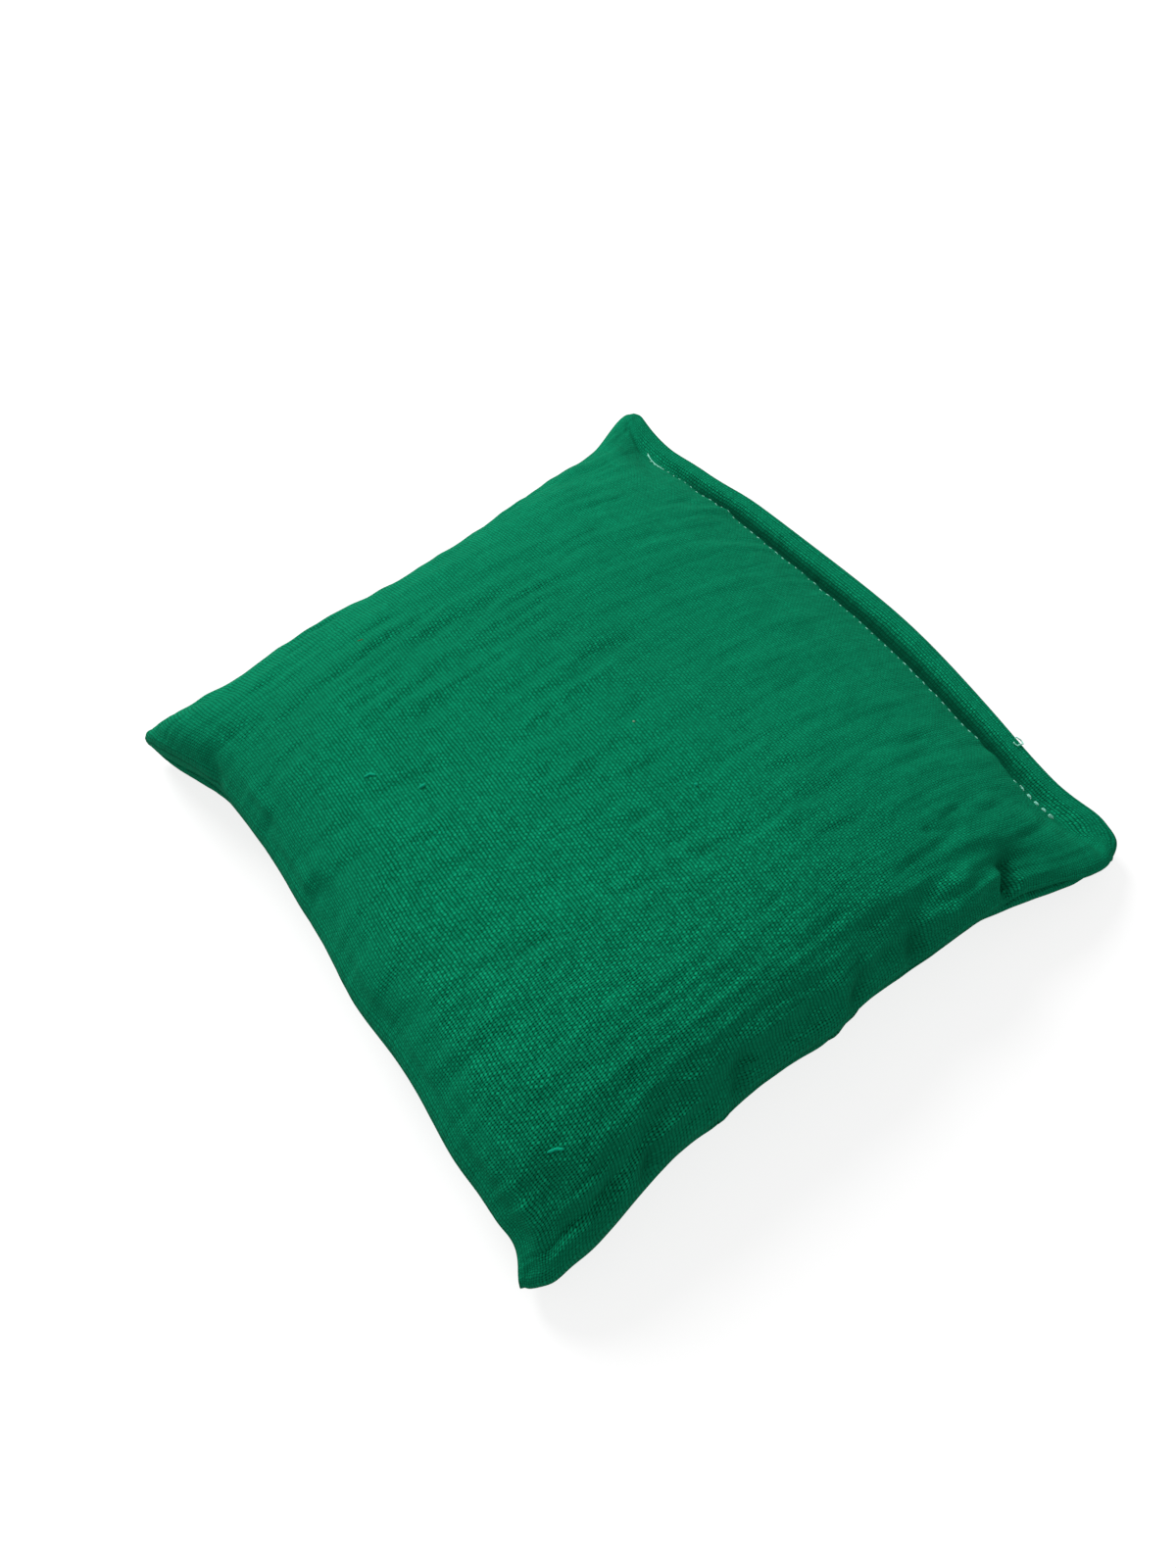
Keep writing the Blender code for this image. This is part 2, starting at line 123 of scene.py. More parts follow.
def plan(p, q):
    """X and Y of the cloth at p along the bag's depth and q across it, both from -1 to 1."""
    reach = np.maximum(np.abs(p), np.abs(q))
    cut_off = 1 - math.sqrt(0.5)
    pull = sum(ear["round"] * cut_off * corner_weight(p, q, ear["at"]) for ear in EARS.values())
    power = math.log(2) / -np.log(1 - np.maximum(pull, LEAST_ROUNDING) / HALF_SIDE)
    rounding = reach / np.maximum((np.abs(p) ** power + np.abs(q) ** power) ** (1 / power), NEARLY_ZERO)
    rounding = np.where(reach > 0, rounding, 1)
    x = HALF_SIDE * p * rounding
    y = HALF_SIDE * q * rounding
    swell = np.where(p > 0, CLOSED_SIDE_SWELL, PLAIN_SIDE_DRAW_IN)
    x += swell * np.abs(p) ** OUTLINE_SHARPNESS * (1 - q * q)
    draw_in = np.where(q > 0, FAR_SIDE_DRAW_IN, NEAR_SIDE_DRAW_IN)
    y -= draw_in * q**OUTLINE_SHARPNESS * (1 - p * p)
    x += PLAIN_SIDE_SKEW * np.clip(-p, 0, 1) ** OUTLINE_SHARPNESS * np.sin(np.pi * q)
    y += FAR_SIDE_SKEW * np.clip(q, 0, 1) ** OUTLINE_SHARPNESS * np.sin(np.pi * p)
    x += wander("closed", q) * np.clip(p, 0, 1) ** OUTLINE_SHARPNESS
    x -= wander("plain", q) * np.clip(-p, 0, 1) ** OUTLINE_SHARPNESS
    y += wander("far", p) * np.clip(q, 0, 1) ** OUTLINE_SHARPNESS
    y -= wander("near", p) * np.clip(-q, 0, 1) ** OUTLINE_SHARPNESS
    for ear in EARS.values():
        weight = corner_weight(p, q, ear["at"]) ** OUTLINE_SHARPNESS
        x += weight * ear["move"][0]
        y += weight * ear["move"][1]
    return x, y


rim_steps = np.linspace(-1, 1, 401)
rim_ends = np.ones_like(rim_steps)
rim_x, _ = plan(np.append(rim_ends, -rim_ends), np.append(rim_steps, rim_steps))
_, rim_y = plan(np.append(rim_steps, rim_steps), np.append(rim_ends, -rim_ends))
SHIFT_X = (panel_low.x + panel_high.x) / 2 - (rim_x.min() + rim_x.max()) / 2
SHIFT_Y = (panel_low.y + panel_high.y) / 2 - (rim_y.min() + rim_y.max()) / 2


def outline(p, q):
    """The same place in the shared frame, where the bag's box is centred."""
    x, y = plan(p, q)
    return x + SHIFT_X, y + SHIFT_Y


def seam_level(p, q):
    """Height of the seam, and of the middle of the flange outside the stitching."""
    level = SEAM_HEIGHT - sum(
        ear["droop"] * corner_weight(p, q, ear["at"]) ** EAR_SHARPNESS for ear in EARS.values()
    )
    past_stitches = (p - STITCH_PLACE) / (1 - STITCH_PLACE)
    dropped = (1 - np.abs(q) ** FLANGE_SHARPNESS) * smooth_step((1 - q) / FAR_EAR_LEVEL)
    return level - FLANGE_DROP * smooth_step(past_stitches / FLANGE_FALL) * dropped


# The filled form. About a cupful of dry granules swells both squares. Lying down, the base is flat, the
# near and far walls are steep, and the top slopes away gently to the closed side, where the stitches
# pinch it.
CROWN_RISE = 16.6 * MM
BELLY_DROP = 15.0 * MM
CROWN_PLACE = -0.24
WALL_FULLNESS = 5.0
SLOPE_FULLNESS = 2.8
EDGE_ROW = 0.7 * MM / HALF_SIDE
BODY_END = STITCH_PLACE - EDGE_ROW
CLOTH = 0.45 * MM
LUMP = 0.5 * MM
LUMP_SPACING = 17 * MM
LUMP_SEED = 3.7
DEPTH_STEPS = 46
FLANGE_STEPS = 10
WIDTH_STEPS = 50
WELD = EDGE_ROW / 9


def fullness(p, q):
    """1 over the crown and 0 at the seams and stitches."""
    back = np.clip((CROWN_PLACE - p) / (CROWN_PLACE + 1), 0, 1)
    front = np.clip((p - CROWN_PLACE) / (BODY_END - CROWN_PLACE), 0, 1)
    along = np.where(p < CROWN_PLACE, np.sqrt(1 - back**WALL_FULLNESS), 1 - front**SLOPE_FULLNESS)
    return along * np.sqrt(1 - np.clip(np.abs(q), 0, 1) ** WALL_FULLNESS)


def noise_field(x, y, seed):
    """Smooth noise from -1 to 1, one value a point."""
    return np.array([noise.noise(Vector((a, b, seed))) for a, b in zip(x.tolist(), y.tolist())])


def filled_form(p, q, is_top):
    x, y = outline(p, q)
    level = seam_level(p, q)
    full = fullness(p, q)
    lumps = LUMP * noise_field(x / LUMP_SPACING, y / LUMP_SPACING, LUMP_SEED) * full
    top = level + CROWN_RISE * full + lumps
    bottom = np.maximum(level - BELLY_DROP * full + lumps, CLOTH)
    return np.column_stack((x, y, np.where(is_top, top, bottom)))


def crowded(count, start, end):
    """Places from start to end that crowd together towards both."""
    return [start + (end - start) * (1 - math.cos(math.pi * i / count)) / 2 for i in range(count + 1)]


depth_rows = [-1] + crowded(DEPTH_STEPS, -1 + EDGE_ROW, BODY_END)
flange_room = 1 - EDGE_ROW - STITCH_PLACE
depth_rows += [STITCH_PLACE + flange_room * i / FLANGE_STEPS for i in range(FLANGE_STEPS + 1)] + [1]
width_rows = [-1] + crowded(WIDTH_STEPS, -1 + EDGE_ROW, 1 - EDGE_ROW) + [1]


def square_of_cloth(is_top):
    """One square as a bmesh, with its places along and across the bag as UVs."""
    square = bmesh.new()
    columns, rows = len(depth_rows) - 1, len(width_rows) - 1
    bmesh.ops.create_grid(square, x_segments=columns, y_segments=rows, size=1)
    places = square.loops.layers.uv.new("places")
    for vert in square.verts:
        column = round((vert.co.x + 1) / 2 * columns)
        row = round((vert.co.y + 1) / 2 * rows)
        vert.co = (depth_rows[column], width_rows[row], 0)
    for face in square.faces:
        face.material_index = 0 if is_top else 1
        for loop in face.loops:
            loop[places].uv = loop.vert.co.xy
    if not is_top:
        bmesh.ops.reverse_faces(square, faces=square.faces)
    return square


def coordinates(mesh):
    flat = np.zeros(len(mesh.vertices) * 3)
    mesh.vertices.foreach_get("co", flat)
    return flat.reshape(-1, 3)


def place_points(mesh, points):
    mesh.vertices.foreach_set("co", points.ravel())
    mesh.update()


def vertex_places(mesh):
    """Every vertex's p and q, read back from the UVs."""
    uv = np.zeros(len(mesh.loops) * 2)
    mesh.uv_layers["places"].data.foreach_get("uv", uv)
    corner = np.zeros(len(mesh.loops), int)
    mesh.loops.foreach_get("vertex_index", corner)
    places = np.zeros((len(mesh.vertices), 2))
    places[corner] = uv.reshape(-1, 2)
    return places[:, 0], places[:, 1]


def new_object(name, mesh):
    made = bpy.data.objects.new(name, mesh)
    bpy.context.scene.collection.objects.link(made)
    return made


sewn = bpy.data.meshes.new("sewn_cover")
both = bmesh.new()
for is_top in (True, False):
    square = square_of_cloth(is_top)
    half = bpy.data.meshes.new("half")
    square.to_mesh(half)
    square.free()
    both.from_mesh(half)
    bpy.data.meshes.remove(half)
rim = [vert for vert in both.verts if max(abs(vert.co.x), abs(vert.co.y)) > 1 - WELD]
bmesh.ops.remove_doubles(both, verts=rim, dist=WELD)
both.to_mesh(sewn)
both.free()

p, q = vertex_places(sewn)
on_top = np.zeros(len(sewn.vertices), bool)
for polygon in sewn.polygons:
    if polygon.material_index == 0:
        on_top[list(polygon.vertices)] = True
form = filled_form(p, q, on_top)
place_points(sewn, form)
cover = new_object("sewn_cover", sewn)

# Settling. The cloth is cut a little larger than the form that the granules fill, more so across the bag,
# as crinkled gauze gives most that way. A short simulation presses it out from inside and lets the slack
# gather at the seams and ears, while the seams, the flange and the base are held in place.
SIM_SCALE = 10
SLACK_ALONG = 1.012
SLACK_ACROSS = 1.03
SETTLING_FRAMES = 24
MIDDLE_HELD = 0.35
BASE_HELD = 0.9
LEAST_HELD = 0.02
BASE_REACH = 1.5 * CLOTH


def held_share(p, q, points):
    """How firmly a point is held: 1 at the seams and flange, little on the walls and ears."""
    rim = np.maximum(np.abs(p), np.abs(q)) > 1 - EDGE_ROW / 2
    flange = smooth_step((p - BODY_END) / (2 * EDGE_ROW))
    middle = MIDDLE_HELD * fullness(p, q) ** 2
    base = np.where(points[:, 2] < BASE_REACH, BASE_HELD, 0)
    return np.clip(np.maximum.reduce([rim * 1.0, flange, middle, base]), LEAST_HELD, 1)


def settle(cover, p, q):
    mesh = cover.data
    form = coordinates(mesh)
    place_points(mesh, form * SIM_SCALE)
    cover.shape_key_add(name="Basis")
    cut = cover.shape_key_add(name="cut")
    slack = np.array((SLACK_ALONG, SLACK_ACROSS, SLACK_ACROSS))
    cut.data.foreach_set("co", (form * SIM_SCALE * slack).ravel())
    group = cover.vertex_groups.new(name="held")
    for index, share in enumerate(held_share(p, q, form)):
        group.add([index], float(share), "REPLACE")
    simulation = cover.modifiers.new("settling", "CLOTH")
    cloth = simulation.settings
    cloth.rest_shape_key = cut
    cloth.vertex_group_mass = "held"
    cloth.pin_stiffness = 1.0
    cloth.quality = 6
    cloth.mass = 0.2
    cloth.air_damping = 3
    cloth.tension_stiffness = cloth.compression_stiffness = 20
    cloth.shear_stiffness = 8
    cloth.bending_stiffness = 0.4
    cloth.use_pressure = True
    cloth.uniform_pressure_force = 2.5
    cloth.effector_weights.gravity = 0
    simulation.collision_settings.use_collision = False
    simulation.point_cache.frame_start = 1
    simulation.point_cache.frame_end = SETTLING_FRAMES
    for step in range(1, SETTLING_FRAMES + 1):
        bpy.context.scene.frame_set(step)
    graph = bpy.context.evaluated_depsgraph_get()
    settled = coordinates(cover.evaluated_get(graph).to_mesh()) / SIM_SCALE
    bpy.context.scene.frame_set(1)
    cover.modifiers.clear()
    cover.shape_key_clear()
    cover.vertex_groups.clear()
    return settled


settled = settle(cover, p, q)
settled[:, 2] = np.maximum(settled[:, 2], CLOTH)
place_points(sewn, settled)

# The two panels. Each is one square of green double gauze: two thin plain-woven layers that are tacked
# together in the weaving, which draws them up into fine crinkles along the bag. Where the panels meet,
# their edges are turned in. Runs, spacings and places on the cloth are in mm or shares of half the side.
FINE_LEVELS = 2
CRINKLE = 0.64 * MM
CRINKLE_RUN, CRINKLE_SPACING = 17, 2.6
DRIFT, DRIFT_RUN, DRIFT_SPACING = 1.5, 60, 26
SWELL, SWELL_RUN, SWELL_SPACING = 0.35, 34, 7.5
FINE_CRINKLE, FINE_RUN, FINE_SPACING = 0.2, 10, 1.6
PATCH_LEVEL, PATCH_RUN, PATCH_SPACING = 0.75, 22, 15
VALLEY_RUN, VALLEY_SPACING, VALLEY_WIDTH = 45, 3.4, 0.10
BREAK_SHARPNESS, BREAK_RUN, BREAK_SPACING, BREAK_LEVEL = 3.5, 9, 4, 0.3
CREASE = 0.3 * MM
PUCKER = 0.6 * MM
PUCKER_SPACING, PUCKER_RISE = 3.6, 12
PUCKER_REACH = 6 * MM
BUCKLE = 2.4 * MM
BUCKLE_RUN, BUCKLE_SPACING = 10, 2.6
CALM_BUCKLES = 0.3
EAR_BLEND = 0.16
WALL_END = 0.1
NEAR_FROM, NEAR_FADE = 0.6, 0.3
NEAR_TO, NEAR_TO_FADE = 0.75, 0.2
SEAM_FADE = 3 * MM
FOLD_RADIUS = 1.45 * MM
PINCH = 1.05 * MM
PINCH_REACH = 1.3 * MM
PINCH_END, PINCH_FADE = 0.97, 0.15
FLANGE_GROOVE = 0.95 * MM
GROOVE_PLACE, GROOVE_REACH = 0.26, 0.13
LIP = 2.7 * MM
LIP_FROM, LIP_FADE = 0.36, 0.26
LIP_STREAK = 0.25 * MM
STREAK_RUN, STREAK_SPACING = 26, 1.5
STREAK_FROM, STREAK_FADE = 0.4, 0.2
FLANGE_CALM, FLANGE_CALM_FADE = 0.7, 0.2
SEAM_ROLLED_UNDER = math.radians(40)
SEAM_SHOWN = math.radians(-38)
EAR_ROLLED_UNDER = math.radians(35)
SEAM_SHOWN_AT, SEAM_SHOWN_REACH = 0.68, 0.13
OPENING_END, OPENING_FADE = 0.7, 0.2
EAR_FROM, EAR_FADE = 0.45, 0.2
JUST_INSIDE = 0.98
SEAM_GROOVE = 0.5 * MM
GROOVE_WIDTH = 0.6 * MM
TURNED_IN = 5.4 * MM
TURNED_LEVEL = 0.1 * MM
TURNED_IN_STEPS = (0.14, 0.3, 0.6, 1)
EAR_TIP = 3.0 * MM
THIN_AT_TIP = 0.05
HOLLOW_FADE = 1.2 * MM
BASE_RELIEF, BASE_PRESS = 0.3, 0.5
# How much painted shade darkens the cloth's colour in its groove, valleys and creases, and where it lies in
# the groove
GROOVE_SHADE, VALLEY_SHADE, CREASE_SHADE, MOST_SHADE = 0.7, 0.08, 0.3, 0.75
CREASE_FULL = 1.5 * MM
SHADE_PLACE, SHADE_REACH = 0.28, 0.23
SHADE_END, SHADE_FADE = 0.84, 0.24
# Hollows where an ear pulls at the cloth: place along and across, reach both ways in mm, and depth
HOLLOWS = (
    (0.67, -0.91, 5.0, 4.5, 0.9 * MM),
    (0.44, -0.92, 4.5, 4.5, -0.8 * MM),
    (-0.88, 0.86, 8.0, 8.0, -1.2 * MM),
    (-0.95, 0.72, 6.0, 9.0, -0.8 * MM),
    (-0.86, -0.90, 4.0, 5.0, 0.5 * MM),
    (0.80, 0.86, 5.0, 5.0, 0.3 * MM),
)
# Creases: where each starts and ends along and across the bag, its depths there, and its width in mm
CREASES = (
    ((0.57, -0.985), (0.595, -0.935), 3.0 * MM, 1.5 * MM, 1.4),
    ((0.595, -0.935), (0.65, -0.88), 1.5 * MM, 0.0, 2.0),
    ((-0.985, 0.60), (-0.92, 0.68), 0.8 * MM, 0.0, 1.6),
    ((0.232, -0.985), (0.27, -0.90), 1.5 * MM, 0.0, 1.6),
    ((0.025, -0.985), (0.09, -0.90), 1.3 * MM, 0.0, 1.5),
    ((-0.36, -0.985), (-0.30, -0.90), 1.5 * MM, 0.0, 1.6),
    ((-0.64, -0.985), (-0.60, -0.90), 1.6 * MM, 0.0, 1.6),
    ((-0.80, -0.985), (-0.66, -0.86), 0.5 * MM, 0.0, 2.2),
    ((0.45, -0.76), (0.56, -0.80), 0.5 * MM, 0.0, 0.7),
    ((0.20, -0.62), (0.36, -0.66), 0.4 * MM, 0.1 * MM, 0.7),
    ((-0.02, -0.50), (0.14, -0.52), 0.4 * MM, 0.1 * MM, 0.7),
)


def arc_lengths(is_top, along):
    """Places from -1 to 1 and their distances in mm over the cloth, from the panel's middle."""
    steps = np.linspace(-1, 1, 801)
    crown = np.full_like(steps, CROWN_PLACE)
    middle = np.zeros_like(steps)
    points = filled_form(steps, middle, is_top) if along else filled_form(crown, steps, is_top)
    run = np.concatenate(([0], np.cumsum(np.linalg.norm(np.diff(points, axis=0), axis=1)))) / MM
    return steps, run - run[len(run) // 2]


def over_cloth(p, q, is_top):
    """Distances in mm along and across the flat cloth, by which its threads are counted."""
    return np.interp(p, *arc_lengths(is_top, True)), np.interp(q, *arc_lengths(is_top, False))


def panel_from(cover, name, index):
    """One panel of the settled cover, cut free at the seam and made fine enough for its crinkles."""
    cloth = bmesh.new()
    cloth.from_mesh(cover.data)
    others = [face for face in cloth.faces if face.material_index != index]
    bmesh.ops.delete(cloth, geom=others, context="FACES")
    for face in cloth.faces:
        face.material_index = 0
    rough = bpy.data.meshes.new(name)
    cloth.to_mesh(rough)
    cloth.free()
    panel = new_object(name, rough)
    fine = panel.modifiers.new("fine", "SUBSURF")
    fine.levels = fine.render_levels = FINE_LEVELS
    fine.uv_smooth = "NONE"
    graph = bpy.context.evaluated_depsgraph_get()
    panel.data = bpy.data.meshes.new_from_object(panel.evaluated_get(graph))
    panel.modifiers.clear()
    bpy.data.meshes.remove(rough)
    panel.data.name = name
    return panel


def point_normals(mesh):
    flat = np.zeros(len(mesh.vertices) * 3)
    mesh.vertices.foreach_get("normal", flat)
    return flat.reshape(-1, 3)


def inset_of(p, q):
    """How far inside the seam a place lies."""
    return (1 - np.maximum(np.abs(p), np.abs(q))) * HALF_SIDE


def past_the_row(p, q):
    """0 at the stitches to 1 at the flange's edge, and how fully the flange is formed between the ears."""
    return (p - STITCH_PLACE) / (1 - STITCH_PLACE), 1 - np.abs(q) ** FLANGE_SHARPNESS


def beside_the_row(past):
    """1 along the groove just outside the stitches."""
    return np.exp(-(((past - GROOVE_PLACE) / GROOVE_REACH) ** 2))


def crinkles(u, v, seed):
    """Heights of the crinkles: broken ridges along the bag, broad swells under them and sharp creases."""
    drift = DRIFT * noise_field(u / DRIFT_RUN, v / DRIFT_SPACING, seed)
    ridges = np.abs(noise_field(u / CRINKLE_RUN, v / CRINKLE_SPACING + drift, seed + 5))
    swells = noise_field(u / SWELL_RUN, v / SWELL_SPACING + drift, seed + 8)
    fine = noise_field(u / FINE_RUN, v / FINE_SPACING + drift, seed + 11)
    patches = PATCH_LEVEL + noise_field(u / PATCH_RUN, v / PATCH_SPACING, seed + 17)
    valley_line = noise_field(u / VALLEY_RUN, v / VALLEY_SPACING + drift, seed + 23)
    valley = np.exp(-((valley_line / VALLEY_WIDTH) ** 2))
    breaks = noise_field(u / BREAK_RUN, v / BREAK_SPACING, seed + 29)
    broken = smooth_step(BREAK_SHARPNESS * breaks - BREAK_LEVEL)
    raised = CRINKLE * (patches * (ridges + FINE_CRINKLE * fine) + SWELL * swells)
    return raised - CREASE * valley * broken, valley * broken


def wall_wrinkles(round_the_bag, up_the_wall, seed):
    """Short wrinkles square to a seam, and the broader buckles that lie along the wall above it."""
    wrinkles = PUCKER * noise_field(round_the_bag / PUCKER_SPACING, up_the_wall / PUCKER_RISE, seed)
    buckles = BUCKLE * noise_field(round_the_bag / BUCKLE_RUN, up_the_wall / BUCKLE_SPACING, seed + 3)
    return wrinkles, buckles


def puckers(u, v, p, q, seed):
    """The wrinkles and buckles of all four walls, which run into each other at the ears."""
    from_seam = inset_of(p, q)
    at_ends = smooth_step(0.5 + (np.abs(p) - np.abs(q)) / EAR_BLEND)
    end_wrinkles, end_buckles = wall_wrinkles(v, u, seed)
    side_wrinkles, side_buckles = wall_wrinkles(u, v, seed + 7)
    wrinkles = at_ends * end_wrinkles + (1 - at_ends) * side_wrinkles
    buckles = at_ends * end_buckles + (1 - at_ends) * side_buckles
    on_wall = 1 - smooth_step((p - BODY_END + WALL_END) / WALL_END)
    near_side = smooth_step((-q - NEAR_FROM) / NEAR_FADE) * smooth_step((NEAR_TO - p) / NEAR_TO_FADE)
    loose = (CALM_BUCKLES + (1 - CALM_BUCKLES) * near_side) * smooth_step(from_seam / SEAM_FADE)
    return np.exp(-from_seam / PUCKER_REACH) * on_wall * (wrinkles + loose * buckles)


def hollows_and_creases(u, v):
    """Depth of the named hollows and creases of the top panel."""
    depth = np.zeros_like(u)
    for p, q, along, across, deep in HOLLOWS:
        at_u, at_v = over_cloth(p, q, True)
        depth += deep * np.exp(-(((u - at_u) / along) ** 2) - ((v - at_v) / across) ** 2)
    for start, end, start_depth, end_depth, width in CREASES:
        start_u, start_v = over_cloth(*start, True)
        run_u, run_v = over_cloth(*end, True) - np.array((start_u, start_v))
        share = ((u - start_u) * run_u + (v - start_v) * run_v) / (run_u**2 + run_v**2)
        share = np.clip(share, 0, 1)
        away = np.hypot(u - start_u - share * run_u, v - start_v - share * run_v)
        depth += (start_depth + (end_depth - start_depth) * share) * np.exp(-((away / width) ** 2))
    return depth


def seam_shown(p, q):
    """1 beside the ear where the seam comes into sight, and 0 elsewhere."""
    on_near_side = (q < 0) & (np.abs(q) >= np.abs(p))
    return np.where(on_near_side, np.exp(-(((p - SEAM_SHOWN_AT) / SEAM_SHOWN_REACH) ** 4)), 0)


def seam_angle(p, q):
    """How far under the folded edge's outermost line the seam lies."""
    at_opening = (p > 0) & (np.abs(p) >= np.abs(q))
    by_ears = SEAM_ROLLED_UNDER * smooth_step((np.abs(q) - OPENING_END) / OPENING_FADE)
    rolled = np.where(at_opening, by_ears, SEAM_ROLLED_UNDER)
    on_plain_side = (p < 0) & (np.abs(p) >= np.abs(q))
    rolled = rolled + EAR_ROLLED_UNDER * smooth_step((q - EAR_FROM) / EAR_FADE) * on_plain_side
    return rolled + (SEAM_SHOWN - rolled) * seam_shown(p, q)


def fold_over_edge(points, p, q, side):
    """Rounds a panel over the folded edge, pinches it at the stitches, puffs it out over the flange's
    turned-in edges and draws it in at the seam."""
    inset = inset_of(p, q)
    share = np.clip(inset / FOLD_RADIUS, 0, 1)
    start = -seam_angle(p, q)
    angle = start + (side * math.pi / 2 - start) * share
    inward = np.where(share < 1, FOLD_RADIUS * (1 - np.cos(angle)) - inset, 0)
    inward += SEAM_GROOVE * (1 + seam_shown(p, q)) * np.clip(1 - inset / GROOVE_WIDTH, 0, 1) ** 2
    past, formed = past_the_row(p, q)
    lip = smooth_step((past - LIP_FROM) / LIP_FADE) * formed
    pinched = smooth_step((PINCH_END - np.abs(q)) / PINCH_FADE)
    pinch = np.exp(-((past * FLANGE / PINCH_REACH) ** 2)) * pinched
    extra = (LIP - FOLD_RADIUS) * lip - (FOLD_RADIUS - PINCH) * pinch
    extra -= (FOLD_RADIUS - FLANGE_GROOVE) * beside_the_row(past) * formed
    points[:, 2] += FOLD_RADIUS * np.sin(angle) + side * extra * np.sin(share * math.pi / 2)
    x, y = outline(p, q)
    inner_x, inner_y = outline(p * JUST_INSIDE, q * JUST_INSIDE)
    towards = np.column_stack((inner_x - x, inner_y - y))
    towards /= np.maximum(np.linalg.norm(towards, axis=1), NEARLY_ZERO)[:, None]
    points[:, :2] += towards * inward[:, None]


def dress(panel, is_top, seed):
    """Gives a panel its folds, crinkles and painted shade, and a second UV map in mm over the flat cloth.
    """
    mesh = panel.data
    p, q = vertex_places(mesh)
    u, v = over_cloth(p, q, is_top)
    points = coordinates(mesh)
    normals = point_normals(mesh)
    past, formed = past_the_row(p, q)
    on_flange = smooth_step(past / FLANGE_CALM_FADE) * formed
    off_seam = smooth_step(inset_of(p, q) / SEAM_FADE)
    crinkle, valleys = crinkles(u, v, seed)
    rise = (crinkle * (1 - FLANGE_CALM * on_flange) + puckers(u, v, p, q, seed + 31)) * off_seam
    streaks = LIP_STREAK * noise_field(v / STREAK_RUN, u / STREAK_SPACING, seed + 37)
    rise += streaks * smooth_step((past - STREAK_FROM) / STREAK_FADE) * formed
    # Painted shade for the groove beside the stitches, the crinkles' valleys and the named hollows and
    # creases
    in_groove = np.exp(-(((past - SHADE_PLACE) / SHADE_REACH) ** 4))
    in_groove = in_groove * smooth_step((SHADE_END - np.abs(q)) / SHADE_FADE)
    shade = GROOVE_SHADE * in_groove + VALLEY_SHADE * valleys
    if is_top:
        depth = hollows_and_creases(u, v) * smooth_step(inset_of(p, q) / HOLLOW_FADE)
        rise -= depth
        shade += CREASE_SHADE * np.clip(depth / CREASE_FULL, 0, 1)
    points += normals * rise[:, None]
    fold_over_edge(points, p, q, 1 if is_top else -1)
    pressed_flat = np.clip(BASE_RELIEF * CRINKLE - BASE_PRESS * rise, 0, None)
    points[:, 2] = np.maximum(points[:, 2], pressed_flat)
    place_points(mesh, points)
    # The painted shade is stored on the points, where the gauze's material reads it to darken its colour
    folds = mesh.attributes.new("painted_fold_shade", "FLOAT", "POINT")
    folds.data.foreach_set("value", np.clip(shade, 0, MOST_SHADE))
    weave = mesh.uv_layers.new(name="weave")
    corner = np.zeros(len(mesh.loops), int)
    mesh.loops.foreach_get("vertex_index", corner)
    weave.data.foreach_set("uv", np.column_stack((u, v))[corner].ravel())


def outer_face(panel):
    """A lookup that gives the point and normal of a panel's outer face at a place on the cloth."""
    p, q = vertex_places(panel.data)
    points = coordinates(panel.data)
    normals = point_normals(panel.data)
    places = KDTree(len(p))
    for index, place in enumerate(zip(p, q)):
        places.insert((*place, 0), index)
    places.balance()

    def look_up(p, q):
        near = places.find_n((p, q, 0), 4)
        weights = np.array([1 / (distance + 1e-6) ** 2 for _, _, distance in near])
        weights /= weights.sum()
        rows = [index for _, index, _ in near]
        return Vector(weights @ points[rows]), Vector(weights @ normals[rows]).normalized()

    return look_up


def turned_in_place(edge_p, edge_q, share, side):
    """Where the turned-in cloth lies at a share of its width: flat, at the seam's level."""
    p = np.array([edge_p * (1 - TURNED_IN * share / HALF_SIDE)])
    q = np.array([edge_q * (1 - TURNED_IN * share / HALF_SIDE)])
    x, y = outline(p, q)
    seam_drop = FOLD_RADIUS * math.sin(seam_angle(np.array([edge_p]), np.array([edge_q]))[0])
    level = seam_level(p, q)[0] - seam_drop * (1 - smooth_step(share / 0.5))
    return x[0], y[0], level + side * TURNED_LEVEL


def turn_in_edge(panel, is_top):
    """Turns the cloth's edge in behind the fold, flat between the two panels."""
    mesh = panel.data
    p, q = vertex_places(mesh)
    cloth = bmesh.new()
    cloth.from_mesh(mesh)
    cloth.verts.ensure_lookup_table()
    place = {vert: (p[vert.index], q[vert.index]) for vert in cloth.verts if vert.is_boundary}
    edges = [edge for edge in cloth.edges if edge.is_boundary]
    for share in TURNED_IN_STEPS:
        made = bmesh.ops.extrude_edge_only(cloth, edges=edges)["geom"]
        came_from = {}
        for vert in (item for item in made if isinstance(item, bmesh.types.BMVert)):
            near = next(edge.other_vert(vert) for edge in vert.link_edges if edge.other_vert(vert) in place)
            came_from[vert] = place[near]
            vert.co = turned_in_place(*place[near], share, 1 if is_top else -1)
        edges = [item for item in made if isinstance(item, bmesh.types.BMEdge)]
        place = came_from
    cloth.to_mesh(mesh)
    cloth.free()


